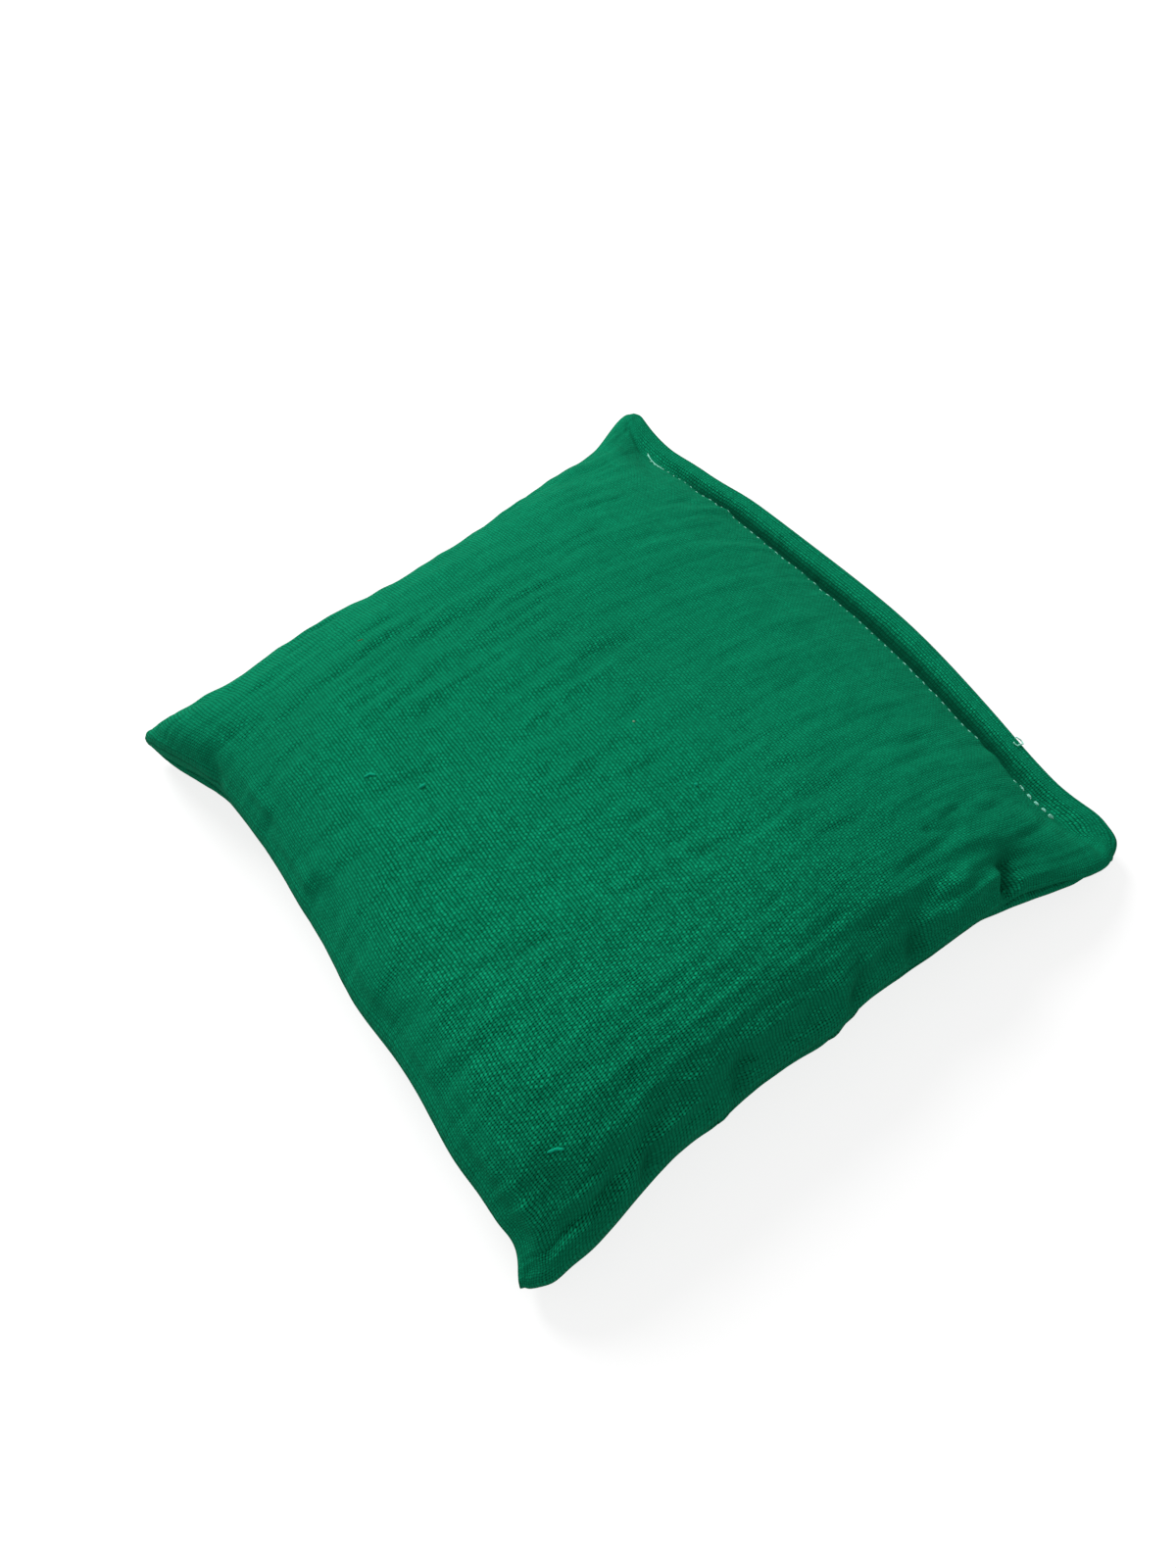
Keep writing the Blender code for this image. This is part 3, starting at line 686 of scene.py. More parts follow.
top_panel = panel_from(cover, "top_panel_cloth", 0)
bottom_panel = panel_from(cover, "bottom_panel_cloth", 1)
bpy.data.objects.remove(cover)
dress(top_panel, True, 1.3)
dress(bottom_panel, False, 41.9)
on_top_panel = outer_face(top_panel)
on_bottom_panel = outer_face(bottom_panel)
tip_x, tip_y = outline(np.array([1.0, 1.0, -1.0, -1.0]), np.array([1.0, -1.0, 1.0, -1.0]))
for panel, is_top in ((top_panel, True), (bottom_panel, False)):
    turn_in_edge(panel, is_top)
    points = coordinates(panel.data)
    from_tip = np.hypot(points[:, :1] - tip_x, points[:, 1:2] - tip_y).min(axis=1)
    full = panel.vertex_groups.new(name="full_thickness")
    full.add(np.flatnonzero(from_tip > EAR_TIP).tolist(), 1, "REPLACE")
    thickness = panel.modifiers.new("cloth", "SOLIDIFY")
    thickness.thickness = CLOTH
    thickness.offset = -1
    thickness.vertex_group = full.name
    thickness.thickness_vertex_group = THIN_AT_TIP

# The gauze itself: its threads' pitches in mm and colours, and how its look changes from place to place
# and with the angle from which it is seen, as the gaps between the threads close up
FINE_PITCH = 0.355
COARSE_PITCH = 0.58
THREAD_HALF, THREAD_UNEVEN = 0.40, 0.05
GAUZE_GREEN = (0.0040, 0.330, 0.158)
# The gaps' colour: the gauze's under layer, darkened as painted shade
UNDER_LAYER_PAINTED_SHADE = (0.0008, 0.035, 0.014)
FACING_FADE, FACING_START, LEAST_OPEN = -3.6, 1.38, 0.42
MIDDLE_HEIGHT, MIDDLE_LIGHT = 0.42, 0.62
BEAD_TONE = 0.48
MOTTLING, MOTTLED_FROM = 0.24, 0.88
BLOTCHING, BLOTCHED_FROM, GAP_STRENGTH = 2.4, -0.3, 2.6


def calculate(tree, operation, first, second=None, clamp=False):
    """A Math node on sockets or numbers, and its result."""
    node = tree.nodes.new("ShaderNodeMath")
    node.operation = operation
    node.use_clamp = clamp
    for socket, value in zip(node.inputs, (first, second)):
        if isinstance(value, bpy.types.NodeSocket):
            tree.links.new(value, socket)
        elif value is not None:
            socket.default_value = value
    return node.outputs[0]


def plain_weave_group():
    """Threads that go over and under each other: their height, and the gaps between them."""
    group = bpy.data.node_groups.new("plain_weave", "ShaderNodeTree")
    sockets = group.interface
    sockets.new_socket("Place", in_out="INPUT", socket_type="NodeSocketVector")
    sockets.new_socket("Pitch Along", in_out="INPUT", socket_type="NodeSocketFloat")
    sockets.new_socket("Pitch Across", in_out="INPUT", socket_type="NodeSocketFloat")
    sockets.new_socket("Wobble", in_out="INPUT", socket_type="NodeSocketFloat")
    sockets.new_socket("Height", in_out="OUTPUT", socket_type="NodeSocketFloat")
    sockets.new_socket("Gap", in_out="OUTPUT", socket_type="NodeSocketFloat")
    sockets.new_socket("Bead Tone", in_out="OUTPUT", socket_type="NodeSocketFloat")
    start = group.nodes.new("NodeGroupInput").outputs
    end = group.nodes.new("NodeGroupOutput").inputs
    drift = group.nodes.new("ShaderNodeTexNoise")
    drift.inputs["Scale"].default_value = 0.45
    drift.inputs["Detail"].default_value = 3
    group.links.new(start["Place"], drift.inputs["Vector"])
    aside = group.nodes.new("ShaderNodeVectorMath")
    aside.operation = "SUBTRACT"
    aside.inputs[1].default_value = (0.5, 0.5, 0.5)
    group.links.new(drift.outputs["Color"], aside.inputs[0])
    wobble = group.nodes.new("ShaderNodeVectorMath")
    wobble.operation = "SCALE"
    group.links.new(aside.outputs[0], wobble.inputs[0])
    group.links.new(start["Wobble"], wobble.inputs["Scale"])
    moved = group.nodes.new("ShaderNodeVectorMath")
    group.links.new(start["Place"], moved.inputs[0])
    group.links.new(wobble.outputs[0], moved.inputs[1])
    parts = group.nodes.new("ShaderNodeSeparateXYZ")
    group.links.new(moved.outputs[0], parts.inputs[0])

    def threads(position, other, number_shift):
        """Profile, height and number of the threads that lie side by side along one position."""
        number = calculate(group, "FLOOR", position)
        from_middle = calculate(group, "SUBTRACT", calculate(group, "FRACT", position), 0.5)
        tone = group.nodes.new("ShaderNodeTexWhiteNoise")
        tone.noise_dimensions = "1D"
        shifted = calculate(group, "ADD", number, number_shift)
        group.links.new(shifted, tone.inputs["W"])
        half_width = calculate(group, "MULTIPLY_ADD", tone.outputs["Value"], THREAD_UNEVEN)
        group.nodes[-1].inputs[2].default_value = THREAD_HALF
        across = calculate(group, "DIVIDE", from_middle, half_width)
        square = calculate(group, "MULTIPLY", across, across)
        profile = calculate(group, "SQRT", calculate(group, "SUBTRACT", 1, square, clamp=True))
        turn = calculate(group, "ADD", calculate(group, "SUBTRACT", other, 0.5), number)
        wave = calculate(group, "COSINE", calculate(group, "MULTIPLY", turn, math.pi))
        return profile, wave, number

    across_position = calculate(group, "DIVIDE", parts.outputs["Y"], start["Pitch Across"])
    along_position = calculate(group, "DIVIDE", parts.outputs["X"], start["Pitch Along"])
    lengthwise, wave_a, number_a = threads(across_position, along_position, 0)
    crosswise, wave_b, number_b = threads(along_position, across_position, 500)
    wave_b = calculate(group, "MULTIPLY", wave_b, -1)

    def height_of(profile, wave, middle, swing):
        raised = calculate(group, "MULTIPLY_ADD", wave, swing)
        group.nodes[-1].inputs[2].default_value = middle
        return calculate(group, "MULTIPLY", profile, raised)

    first = height_of(lengthwise, wave_a, 0.36, 0.26)
    second = height_of(crosswise, wave_b, 0.5, 0.5)
    group.links.new(calculate(group, "MAXIMUM", first, second), end["Height"])
    bare_a = calculate(group, "SUBTRACT", 1, lengthwise, clamp=True)
    bare_b = calculate(group, "SUBTRACT", 1, crosswise, clamp=True)
    group.links.new(calculate(group, "MULTIPLY", bare_a, bare_b), end["Gap"])
    crossing = group.nodes.new("ShaderNodeCombineXYZ")
    group.links.new(number_a, crossing.inputs["X"])
    group.links.new(number_b, crossing.inputs["Y"])
    uneven = group.nodes.new("ShaderNodeTexWhiteNoise")
    uneven.noise_dimensions = "2D"
    group.links.new(crossing.outputs[0], uneven.inputs["Vector"])
    group.links.new(uneven.outputs["Value"], end["Bead Tone"])
    return group


def mixed_colour(tree, factor, first, second, blend="MIX"):
    """A colour Mix node on sockets or colours, and its result."""
    node = tree.nodes.new("ShaderNodeMix")
    node.data_type = "RGBA"
    node.blend_type = blend
    for socket, value in zip((node.inputs[0], node.inputs[6], node.inputs[7]), (factor, first, second)):
        if isinstance(value, bpy.types.NodeSocket):
            tree.links.new(value, socket)
        elif isinstance(value, tuple):
            socket.default_value = (*value, 1)
        else:
            socket.default_value = value
    return node.outputs[2]


plain_weave = plain_weave_group()
gauze = bpy.data.materials.new("green_double_gauze")
gauze.use_nodes = True
tree = gauze.node_tree
shader = tree.nodes["Principled BSDF"]
shader.inputs["Roughness"].default_value = 0.92
shader.inputs["Specular IOR Level"].default_value = 0.02
place = tree.nodes.new("ShaderNodeUVMap")
place.uv_map = "weave"
weave = tree.nodes.new("ShaderNodeGroup")
weave.node_tree = plain_weave
weave.inputs["Pitch Along"].default_value = COARSE_PITCH
weave.inputs["Pitch Across"].default_value = FINE_PITCH
weave.inputs["Wobble"].default_value = 0.55
tree.links.new(place.outputs["UV"], weave.inputs["Place"])
patchy = tree.nodes.new("ShaderNodeTexNoise")
patchy.inputs["Scale"].default_value = 0.12
patchy.inputs["Detail"].default_value = 4
tree.links.new(place.outputs["UV"], patchy.inputs["Vector"])
angle = tree.nodes.new("ShaderNodeLayerWeight")
angle.inputs["Blend"].default_value = 0.5
open_share = calculate(tree, "MULTIPLY_ADD", angle.outputs["Facing"], FACING_FADE)
tree.nodes[-1].inputs[2].default_value = FACING_START
open_share = calculate(tree, "MAXIMUM", calculate(tree, "MINIMUM", open_share, 1), LEAST_OPEN)
# Painted shade: the fold attribute darkens the colour in the groove, valleys and creases, and calms the
# weave there
folds = tree.nodes.new("ShaderNodeAttribute")
folds.attribute_name = "painted_fold_shade"
outside_painted_shade = calculate(tree, "SUBTRACT", 1, folds.outputs["Fac"])
open_share = calculate(tree, "MULTIPLY", open_share, outside_painted_shade)
# Painted light and shade of the weave: each thread's raised middle is lighter and its sides darker in the
# colour
over_middle = calculate(tree, "SUBTRACT", weave.outputs["Height"], MIDDLE_HEIGHT)
painted_weave_light = calculate(tree, "ADD", calculate(tree, "MULTIPLY", over_middle, open_share), MIDDLE_LIGHT)
off_tone = calculate(tree, "SUBTRACT", weave.outputs["Bead Tone"], 0.5)
uneven = calculate(tree, "MULTIPLY", off_tone, BEAD_TONE)
toned = calculate(tree, "ADD", calculate(tree, "MULTIPLY", uneven, open_share), 1)
mottled = calculate(tree, "MULTIPLY_ADD", patchy.outputs["Fac"], MOTTLING)
tree.nodes[-1].inputs[2].default_value = MOTTLED_FROM
brightness = calculate(tree, "MULTIPLY", calculate(tree, "MULTIPLY", painted_weave_light, toned), mottled)
brightness = calculate(tree, "MULTIPLY", brightness, outside_painted_shade)
thread_colour = mixed_colour(tree, 1.0, GAUZE_GREEN, brightness, "MULTIPLY")

# The gaps between the threads close up from a low angle, and are wider in some places than in others
blotches = tree.nodes.new("ShaderNodeTexNoise")
blotches.inputs["Scale"].default_value = 0.5
blotches.inputs["Detail"].default_value = 3
tree.links.new(place.outputs["UV"], blotches.inputs["Vector"])
blotched = calculate(tree, "MULTIPLY_ADD", blotches.outputs["Fac"], BLOTCHING)
tree.nodes[-1].inputs[2].default_value = BLOTCHED_FROM
opened = calculate(tree, "MULTIPLY", calculate(tree, "MULTIPLY", open_share, blotched), GAP_STRENGTH)
gap = calculate(tree, "MULTIPLY", weave.outputs["Gap"], opened, clamp=True)
# In the gaps the colour is the under layer, darkened as painted shade between the threads
colour = mixed_colour(tree, gap, thread_colour, UNDER_LAYER_PAINTED_SHADE)
tree.links.new(colour, shader.inputs["Base Color"])
bump = tree.nodes.new("ShaderNodeBump")
bump.inputs["Strength"].default_value = 0.42
bump.inputs["Distance"].default_value = 0.12 * MM
tree.links.new(weave.outputs["Height"], bump.inputs["Height"])
stretched = tree.nodes.new("ShaderNodeVectorMath")
stretched.operation = "MULTIPLY"
stretched.inputs[1].default_value = (0.065, 0.65, 1)
tree.links.new(place.outputs["UV"], stretched.inputs[0])
small_crinkles = tree.nodes.new("ShaderNodeTexNoise")
small_crinkles.inputs["Scale"].default_value = 1
small_crinkles.inputs["Detail"].default_value = 2
tree.links.new(stretched.outputs[0], small_crinkles.inputs["Vector"])
crinkled = tree.nodes.new("ShaderNodeBump")
crinkled.inputs["Strength"].default_value = 0.45
crinkled.inputs["Distance"].default_value = 0.5 * MM
tree.links.new(small_crinkles.outputs["Fac"], crinkled.inputs["Height"])
tree.links.new(bump.outputs["Normal"], crinkled.inputs["Normal"])
tree.links.new(crinkled.outputs["Normal"], shader.inputs["Normal"])

for panel, node in ((top_panel, "top_panel"), (bottom_panel, "bottom_panel")):
    panel.data.materials.clear()
    panel.data.materials.append(gauze)
    panel.data.shade_smooth()
    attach(panel, "root")
    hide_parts(node)

# The closing row. One row of lockstitches in off-white sewing thread goes through both panels and their
# turned-in edges: the needle thread on top, the bobbin thread below. Both ends are sewn back and forth.
THREAD = 0.18 * MM
STITCH = 2.08 * MM
ROW_ENDS = (0.87, -0.857)
ROW_LEANS = (2.5 * MM / HALF_SIDE, 1.2 * MM / HALF_SIDE)
BURIED_FROM, BURIED_TO = -0.565, -0.71
BURIED_DEPTH = 0.9 * MM
BURIED_FADE = 0.02
LEAN_SHARPNESS = 12
ROW_SAMPLES = 1500
HOLE_DEPTH = 1.3 * MM
THREAD_WHITE = (0.42, 0.92, 0.76)
THREAD_SHADE = (0.25, 0.74, 0.58)


def row_place(q):
    """The row's place along the bag: straight, and a little further out at both ends."""
    lean = ROW_LEANS[0] if q > 0 else ROW_LEANS[1]
    return STITCH_PLACE + lean * (abs(q) / abs(ROW_ENDS[1])) ** LEAN_SHARPNESS


row_q = np.linspace(ROW_ENDS[0], ROW_ENDS[1], ROW_SAMPLES)
row_points = [on_top_panel(row_place(q_here), q_here)[0] for q_here in row_q]
row_run = [0.0]
for before, after in zip(row_points, row_points[1:]):
    row_run.append(row_run[-1] + (after - before).length)
stitch_count = round(row_run[-1] / STITCH)
hole_run = [row_run[-1] * index / stitch_count for index in range(stitch_count + 1)]


def needle_points(run, height):
    """A point of the needle thread: how far along the row it is, and how high over the cloth's face."""
    q_here = float(np.interp(run, row_run, row_q))
    point, normal = on_top_panel(row_place(q_here), q_here)
    buried = smooth_step((BURIED_FROM - q_here) / BURIED_FADE)
    buried = buried * smooth_step((q_here - BURIED_TO) / BURIED_FADE)
    return point + normal * (height - BURIED_DEPTH * buried)


def thread_mesh(name, paths, radius, sides=2):
    """A mesh of one thread that follows smooth paths."""
    line = bpy.data.curves.new(name, "CURVE")
    line.dimensions = "3D"
    line.bevel_depth = radius
    line.bevel_resolution = sides
    line.use_fill_caps = True
    for path in paths:
        spline = line.splines.new("POLY")
        spline.points.add(len(path) - 1)
        for target, point in zip(spline.points, path):
            target.co = (*point, 1)
    holder = new_object(name, line)
    graph = bpy.context.evaluated_depsgraph_get()
    mesh = bpy.data.meshes.new_from_object(holder.evaluated_get(graph))
    bpy.data.objects.remove(holder)
    mesh.name = name
    mesh.shade_smooth()
    return mesh


STITCH_PROFILE = (
    (0.0, -1.3), (0.15, -0.7), (0.27, -0.25), (0.38, -0.03), (0.5, 0.03), (0.62, -0.03), (0.73, -0.25),
    (0.85, -0.7),
)
needle_path = []
for start_run, end_run in zip(hole_run, hole_run[1:]):
    for share, height in STITCH_PROFILE:
        needle_path.append(needle_points(start_run + (end_run - start_run) * share, height * MM))
needle_path.append(needle_points(hole_run[-1], -HOLE_DEPTH))
# The backstitches, in mm: from where to where along the row, how far aside at both ends, and how high
# over the cloth
TACK_POINTS = 9
TACK_DIP = 0.3
TACK_SHARPNESS = 6
ROW_END = row_run[-1] / MM
BACKSTITCHES = (
    (0.0, 9.5, 0.15, 0.0, 0.17),
    (ROW_END - 1.60, ROW_END - 0.30, 0.34, 0.34, 0.14),
    (ROW_END - 1.58, ROW_END - 0.48, 0.16, 0.12, 0.14),
    (ROW_END - 3.70, ROW_END - 2.50, 0.20, 0.10, 0.18),
    (ROW_END - 3.60, ROW_END - 2.60, 0.0, -0.02, 0.20),
    (ROW_END - 5.78, ROW_END - 4.58, 0.20, 0.10, 0.18),
    (ROW_END - 5.66, ROW_END - 4.70, 0.0, -0.02, 0.20),
    (ROW_END - 7.86, ROW_END - 6.66, 0.18, 0.08, 0.18),
    (ROW_END - 7.70, ROW_END - 6.80, 0.0, -0.02, 0.18),
    (ROW_END - 9.90, ROW_END - 8.90, 0.08, 0.06, 0.12),
)
backtacks = []
for first, last, aside_first, aside_last, height in BACKSTITCHES:
    runs = np.linspace(first, last, TACK_POINTS) * MM
    asides = np.linspace(aside_first, aside_last, TACK_POINTS) * MM
    dips = height - TACK_DIP * (np.abs(np.linspace(-1, 1, TACK_POINTS)) ** TACK_SHARPNESS)
    backtacks.append([
        needle_points(run, dip * MM) + Vector((aside, 0, 0)) for run, aside, dip in zip(runs, asides, dips)
    ])
thread = bpy.data.materials.new("off_white_sewing_thread")
thread.use_nodes = True
tree = thread.node_tree
shader = tree.nodes["Principled BSDF"]
shader.inputs["Roughness"].default_value = 0.75
shader.inputs["Specular IOR Level"].default_value = 0.2
place = tree.nodes.new("ShaderNodeTexCoord")
twist = tree.nodes.new("ShaderNodeTexWave")
twist.bands_direction = "DIAGONAL"
twist.inputs["Scale"].default_value = 900
twist.inputs["Distortion"].default_value = 1.5
tree.links.new(place.outputs["Object"], twist.inputs["Vector"])
# Painted shade: the thread is darker in diagonal bands along its twist
shade = mixed_colour(tree, twist.outputs["Fac"], THREAD_SHADE, THREAD_WHITE)
tree.links.new(shade, shader.inputs["Base Color"])


def add_thread(name, node, paths, radius=THREAD / 2):
    made = new_object(name, thread_mesh(name, paths, radius))
    made.data.materials.append(thread)
    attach(made, "root")
    if node:
        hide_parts(node)
    return made


add_thread("closing_needle_stitches", "closing_needle_thread", [needle_path] + backtacks)


def bobbin_point(run, height):
    """A point of the bobbin thread: how far along the row it is, and how high over the cloth's face."""
    q_here = float(np.interp(run, row_run, row_q))
    return on_bottom_panel(row_place(q_here), q_here)[0] - Vector((0, 0, height))


bobbin_path = []
for start_run, end_run in zip(hole_run, hole_run[1:]):
    for share, height in STITCH_PROFILE:
        bobbin_path.append(bobbin_point(start_run + (end_run - start_run) * share, height * MM))
add_thread("closing_bobbin_stitches", "closing_bobbin_thread", [bobbin_path])

# Slubs and lint. Soft knots of the cloth's own yarn stand up here and there, and a few loose fibres cling
# to it. Each is a short run of yarn over the cloth: places along and across the bag, and heights and
# thicknesses in mm.
SLUBS = {
    "green_slub": (0.0030, 0.36, 0.20),
    "pale_lint": (0.70, 0.74, 0.58),
    "brown_fleck": (0.16, 0.055, 0.012),
}
SLUB_OVERLAP = 0.62
YARN_ENDS = (
    ("green_slub", ((-0.827, -0.815), (-0.816, -0.820), (-0.807, -0.826)), 0.18, 0.50),
    ("green_slub", ((-0.668, 0.231), (-0.662, 0.228), (-0.656, 0.223)), 0.24, 0.50),
    ("green_slub", ((-0.570, 0.112), (-0.566, 0.109)), 0.30, 0.60),
    ("green_slub", ((0.008, -0.321), (0.011, -0.324)), 0.26, 0.50),
    ("green_slub", ((-0.326, -0.330), (-0.318, -0.340), (-0.312, -0.352), (-0.318, -0.362)), 0.10, 0.07),
    ("pale_lint", ((0.0015, -0.065), (0.0025, -0.0665)), 0.15, 0.13),
    ("brown_fleck", ((-0.443, 0.662), (-0.438, 0.657)), 0.08, 0.12),
)
for kind, dye in SLUBS.items():
    yarn = bmesh.new()
    for _, places, height, thick in (row for row in YARN_ENDS if row[0] == kind):
        spots = [on_top_panel(*spot) for spot in places]
        for part, (point, normal) in enumerate(spots):
            before, after = spots[max(part - 1, 0)][0], spots[min(part + 1, len(spots) - 1)][0]
            along = (after - before).normalized()
            side = normal.cross(along).normalized()
            turn = Matrix((along, side, along.cross(side))).transposed().to_4x4()
            spans = 1 if part in (0, len(spots) - 1) else 2
            reach = (after - before).length / spans * SLUB_OVERLAP + thick * MM / 2
            size = Matrix.Diagonal((reach, thick * MM / 2, thick * MM / 2, 1))
            centre = Matrix.Translation(point + normal * (height - thick / 4) * MM)
            bmesh.ops.create_icosphere(yarn, subdivisions=2, radius=1, matrix=centre @ turn @ size)
    lint_mesh = bpy.data.meshes.new(kind)
    yarn.to_mesh(lint_mesh)
    yarn.free()
    lint_mesh.shade_smooth()
    lint = new_object(kind, lint_mesh)
    dyed = bpy.data.materials.new(kind)
    dyed.use_nodes = True
    tree = dyed.node_tree
    tree.nodes["Principled BSDF"].inputs["Base Color"].default_value = (*dye, 1)
    tree.nodes["Principled BSDF"].inputs["Roughness"].default_value = 0.9
    tree.nodes["Principled BSDF"].inputs["Specular IOR Level"].default_value = 0.05
    lint_mesh.materials.append(dyed)
    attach(lint, "root")

# The seam. Its needle and bobbin threads run round three sides inside the fold, out of sight, and stop
# about 20 mm past both corners of the closed side, where the bag was turned.
SEAM_INSET = 1.5 * MM
SEAM_THREAD = 0.24 * MM
SEAM_THREADS_APART = 1.44 * MM
SEAM_STOP, SEAM_CORNER = 0.70, 0.99
SEAM_POINTS, STUB_POINTS = 120, 20


def seam_path(height):
    share = 1 - SEAM_INSET / HALF_SIDE
    run = np.linspace(-1, 1, SEAM_POINTS)
    side, stub = np.ones(SEAM_POINTS), np.ones(STUB_POINTS)
    far_stub = np.linspace(SEAM_STOP, SEAM_CORNER, STUB_POINTS)
    near_stub = np.linspace(-SEAM_CORNER, -SEAM_STOP, STUB_POINTS)
    p_run = np.concatenate((stub, run[::-1], -side, run, stub))
    q_run = np.concatenate((far_stub, side, run[::-1], -side, near_stub))
    x, y = outline(p_run * share, q_run * share)
    z = seam_level(p_run * share, q_run * share) + height
    return [Vector(spot) for spot in zip(x, y, z)]


# The needle thread's loose end comes out at the edge as a small loop: its places and heights in mm
LOOSE_LOOP = (
    (0.982, -0.609, -0.4), (0.983, -0.610, 0.3), (0.988, -0.612, 0.45), (0.991, -0.617, 0.5),
    (0.989, -0.623, 0.45), (0.984, -0.628, 0.4), (0.976, -0.630, 0.35), (0.969, -0.627, 0.3),
    (0.966, -0.621, 0.3), (0.968, -0.616, 0.4),
)
tail_end = []
for place_p, place_q, height in LOOSE_LOOP:
    point, normal = on_top_panel(place_p, place_q)
    tail_end.append(point + normal * height * MM)
needle_paths = [seam_path(SEAM_THREADS_APART / 2), tail_end]
bobbin_paths = [seam_path(-SEAM_THREADS_APART / 2)]
add_thread("seam_needle_stitches", "seam_needle_thread", needle_paths, SEAM_THREAD / 2)
add_thread("seam_bobbin_stitches", "seam_bobbin_thread", bobbin_paths, SEAM_THREAD / 2)

# The filling. Several hundred dry granules, each a rounded bean about 7 mm long, lie loose inside the
# cover and give it its weight. They are out of sight.
GRANULE_SPACING = 7.2 * MM
GRANULE_HALVES = Vector((3.4 * MM, 2.7 * MM, 2.5 * MM))
GRANULE_ROOM = 4.2 * MM
GRANULE_DARK = (0.42, 0.27, 0.13)
GRANULE_PALE = (0.66, 0.52, 0.31)
BASE_SAG = 0.6 * MM
HEAP_SHIFT, HEAP_REACH = 0.04, 0.84
HEAP_GRID = 81
COLUMN_REACH = 2 * MM
LAYERS, ROWS, COLUMNS = 6, 9, 10
TURN_BY_ROW, TURN_BY_COLUMN = 7.1, 3.3
granule_shape = bmesh.new()
bmesh.ops.create_uvsphere(granule_shape, u_segments=8, v_segments=5, radius=1)
granule_one = bpy.data.meshes.new("granule")
granule_shape.to_mesh(granule_one)
granule_shape.free()
heap = bmesh.new()
layer_gap = GRANULE_SPACING * math.sqrt(2 / 3)
row_gap = GRANULE_SPACING * math.sqrt(3) / 2
grid_p, grid_q = np.meshgrid(np.linspace(-1, 1, HEAP_GRID), np.linspace(-1, 1, HEAP_GRID))
grid_p, grid_q = grid_p.ravel(), grid_q.ravel()
upper = filled_form(grid_p, grid_q, True)
lower = filled_form(grid_p, grid_q, False)
columns = KDTree(len(upper))
for index, (x, y, z) in enumerate(upper):
    columns.insert((x, y, 0), index)
columns.balance()
for layer in range(LAYERS):
    for row in range(-ROWS, ROWS + 1):
        for column in range(-COLUMNS, COLUMNS + 1):
            x = (column + 0.5 * (row % 2) + 0.5 * (layer % 2)) * GRANULE_SPACING
            y = row * row_gap + (layer % 2) * row_gap / 3
            z = GRANULE_ROOM + layer * layer_gap
            _, index, distance = columns.find((x, y, 0))
            off_centre = max(abs(grid_p[index] + HEAP_SHIFT), abs(grid_q[index]))
            inside = off_centre < HEAP_REACH and distance < COLUMN_REACH
            over_base = lower[index][2] + GRANULE_ROOM <= z + BASE_SAG
            if inside and over_base and z < upper[index][2] - GRANULE_ROOM:
                turned = TURN_BY_ROW * row + TURN_BY_COLUMN * column + layer
                spin = Matrix.Rotation(turned, 4, "Z") @ Matrix.Rotation(column, 4, "X")
                fresh = len(heap.verts)
                heap.from_mesh(granule_one)
                heap.verts.ensure_lookup_table()
                move = Matrix.Translation((x, y, z)) @ spin @ Matrix.Diagonal((*GRANULE_HALVES, 1))
                bmesh.ops.transform(heap, matrix=move, verts=heap.verts[fresh:])
granules = bpy.data.meshes.new("loose_granules")
heap.to_mesh(granules)
heap.free()
bpy.data.meshes.remove(granule_one)
granules.shade_smooth()
filling = new_object("loose_granules", granules)
grain = bpy.data.materials.new("dry_granule")
grain.use_nodes = True
tree = grain.node_tree
shader = tree.nodes["Principled BSDF"]
shader.inputs["Roughness"].default_value = 0.55
place = tree.nodes.new("ShaderNodeTexCoord")
speckle = tree.nodes.new("ShaderNodeTexNoise")
speckle.inputs["Scale"].default_value = 260
tree.links.new(place.outputs["Object"], speckle.inputs["Vector"])
speckled = mixed_colour(tree, speckle.outputs["Fac"], GRANULE_DARK, GRANULE_PALE)
tree.links.new(speckled, shader.inputs["Base Color"])
granules.materials.append(grain)
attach(filling, "root")
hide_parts("granule_filling")

# The studio. A plain pale floor keeps the bag's soft shadow under an even sky, and one lamp stands above
# and behind the bag.
FLOOR_HALF = 2.5
floor_mesh = bpy.data.meshes.new("floor")
ground = bmesh.new()
bmesh.ops.create_grid(ground, x_segments=1, y_segments=1, size=FLOOR_HALF)
ground.to_mesh(floor_mesh)
ground.free()
floor = new_object("floor", floor_mesh)
FLOOR_GREY = 0.6
SEEN_FLOOR_GREY = 0.32
SEEN_FLOOR_GLOW = 0.8


def seen_share(tree):
    """1 for rays that show a surface, straight or by reflection, and 0 for those that only light others."""
    path = tree.nodes.new("ShaderNodeLightPath").outputs
    mirrored = calculate(tree, "MAXIMUM", path["Is Glossy Ray"], path["Is Transmission Ray"])
    return calculate(tree, "MAXIMUM", path["Is Camera Ray"], mirrored)


pale = bpy.data.materials.new("pale_floor")
pale.use_nodes = True
tree = pale.node_tree
tree.nodes.clear()
plain = tree.nodes.new("ShaderNodeBsdfDiffuse")
plain.inputs["Color"].default_value = (FLOOR_GREY, FLOOR_GREY, FLOOR_GREY, 1)
shaded = tree.nodes.new("ShaderNodeBsdfDiffuse")
shaded.inputs["Color"].default_value = (SEEN_FLOOR_GREY, SEEN_FLOOR_GREY, SEEN_FLOOR_GREY, 1)
glow = tree.nodes.new("ShaderNodeEmission")
glow.inputs["Strength"].default_value = SEEN_FLOOR_GLOW
seen = tree.nodes.new("ShaderNodeAddShader")
tree.links.new(shaded.outputs[0], seen.inputs[0])
tree.links.new(glow.outputs[0], seen.inputs[1])
choice = tree.nodes.new("ShaderNodeMixShader")
tree.links.new(seen_share(tree), choice.inputs[0])
tree.links.new(plain.outputs[0], choice.inputs[1])
tree.links.new(seen.outputs[0], choice.inputs[2])
end = tree.nodes.new("ShaderNodeOutputMaterial")
tree.links.new(choice.outputs[0], end.inputs["Surface"])
floor_mesh.materials.append(pale)

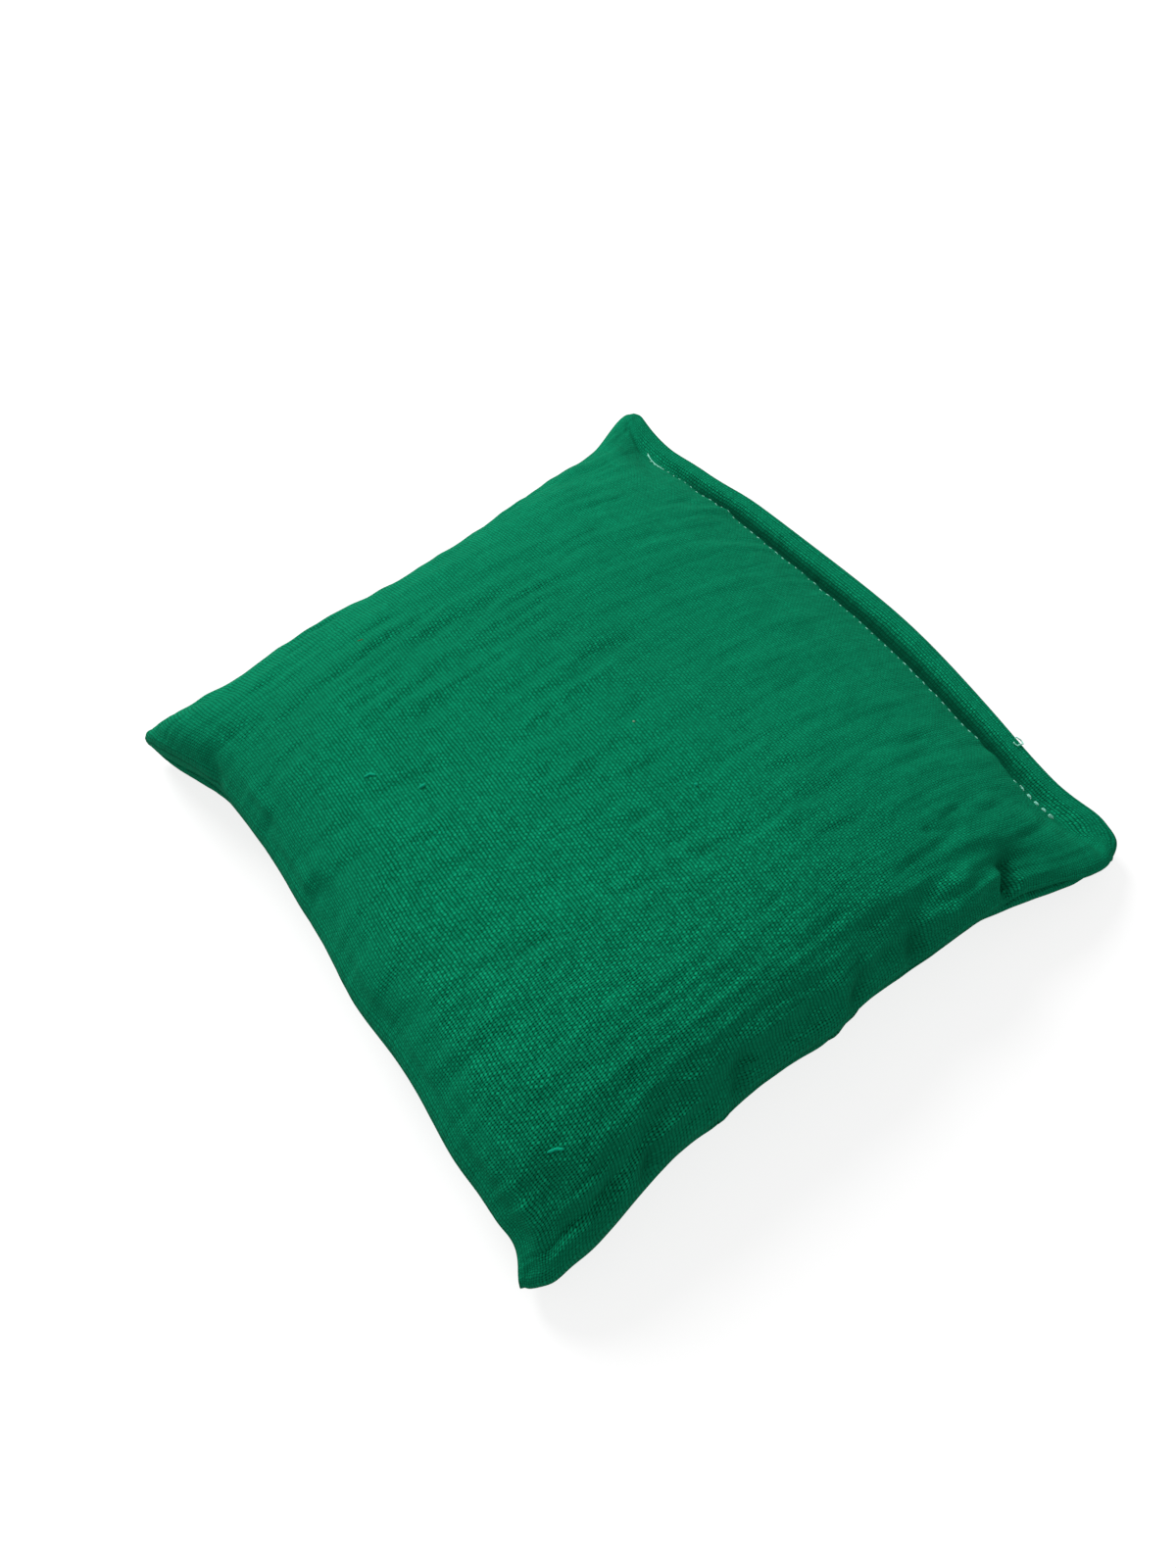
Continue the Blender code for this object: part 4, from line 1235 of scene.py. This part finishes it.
SKY_LIGHT = 0.40
world = bpy.data.worlds.new("studio")
bpy.context.scene.world = world
world.use_nodes = True
sky = world.node_tree.nodes["Background"]
sky.inputs["Color"].default_value = (1, 1, 1, 1)
brightness = calculate(world.node_tree, "MULTIPLY_ADD", seen_share(world.node_tree), 1 - SKY_LIGHT)
world.node_tree.nodes[-1].inputs[2].default_value = SKY_LIGHT
world.node_tree.links.new(brightness, sky.inputs["Strength"])
LAMP_PLACE = (0.0, 0.82, 0.72)
LAMP_SIZE = 0.5
LAMP_POWER = 9.6
lamp = bpy.data.lights.new("window_behind", "AREA")
lamp.shape = "DISK"
lamp.size = LAMP_SIZE
lamp.energy = LAMP_POWER
window = bpy.data.objects.new("window_behind", lamp)
bpy.context.scene.collection.objects.link(window)
window.location = LAMP_PLACE
window.rotation_euler = (-Vector(LAMP_PLACE)).to_track_quat("-Z", "Y").to_euler()

# The camera. It looks down on the bag from close by, at the photograph's angle and with its framing.
AZIMUTH = math.radians(-36.09)
ELEVATION = math.radians(59.40)
ROLL = math.radians(-0.99)
DISTANCE = 207.64 * MM
TARGET = Vector((SHIFT_X - 6.0 * MM, SHIFT_Y + 0.33 * MM, 10 * MM))
PICTURE_HEIGHT_PX = 1600
FOCAL_PX = 1200
back = Vector((
    math.sin(AZIMUTH) * math.cos(ELEVATION),
    -math.cos(AZIMUTH) * math.cos(ELEVATION),
    math.sin(ELEVATION),
))
right = (-back).cross(Vector((0, 0, 1))).normalized()
up = right.cross(-back)
rolled_right = right * math.cos(ROLL) + up * math.sin(ROLL)
rolled_up = up * math.cos(ROLL) - right * math.sin(ROLL)
view = bpy.data.cameras.new("photo_view")
view.lens = FOCAL_PX / PICTURE_HEIGHT_PX * view.sensor_width
view.clip_start = 0.01
camera = bpy.data.objects.new("photo_view", view)
bpy.context.scene.collection.objects.link(camera)
turn = Matrix((rolled_right, rolled_up, back)).transposed()
camera.matrix_world = Matrix.Translation(TARGET + back * DISTANCE) @ turn.to_4x4()
bpy.context.scene.camera = camera
bpy.context.scene.view_settings.view_transform = "Standard"
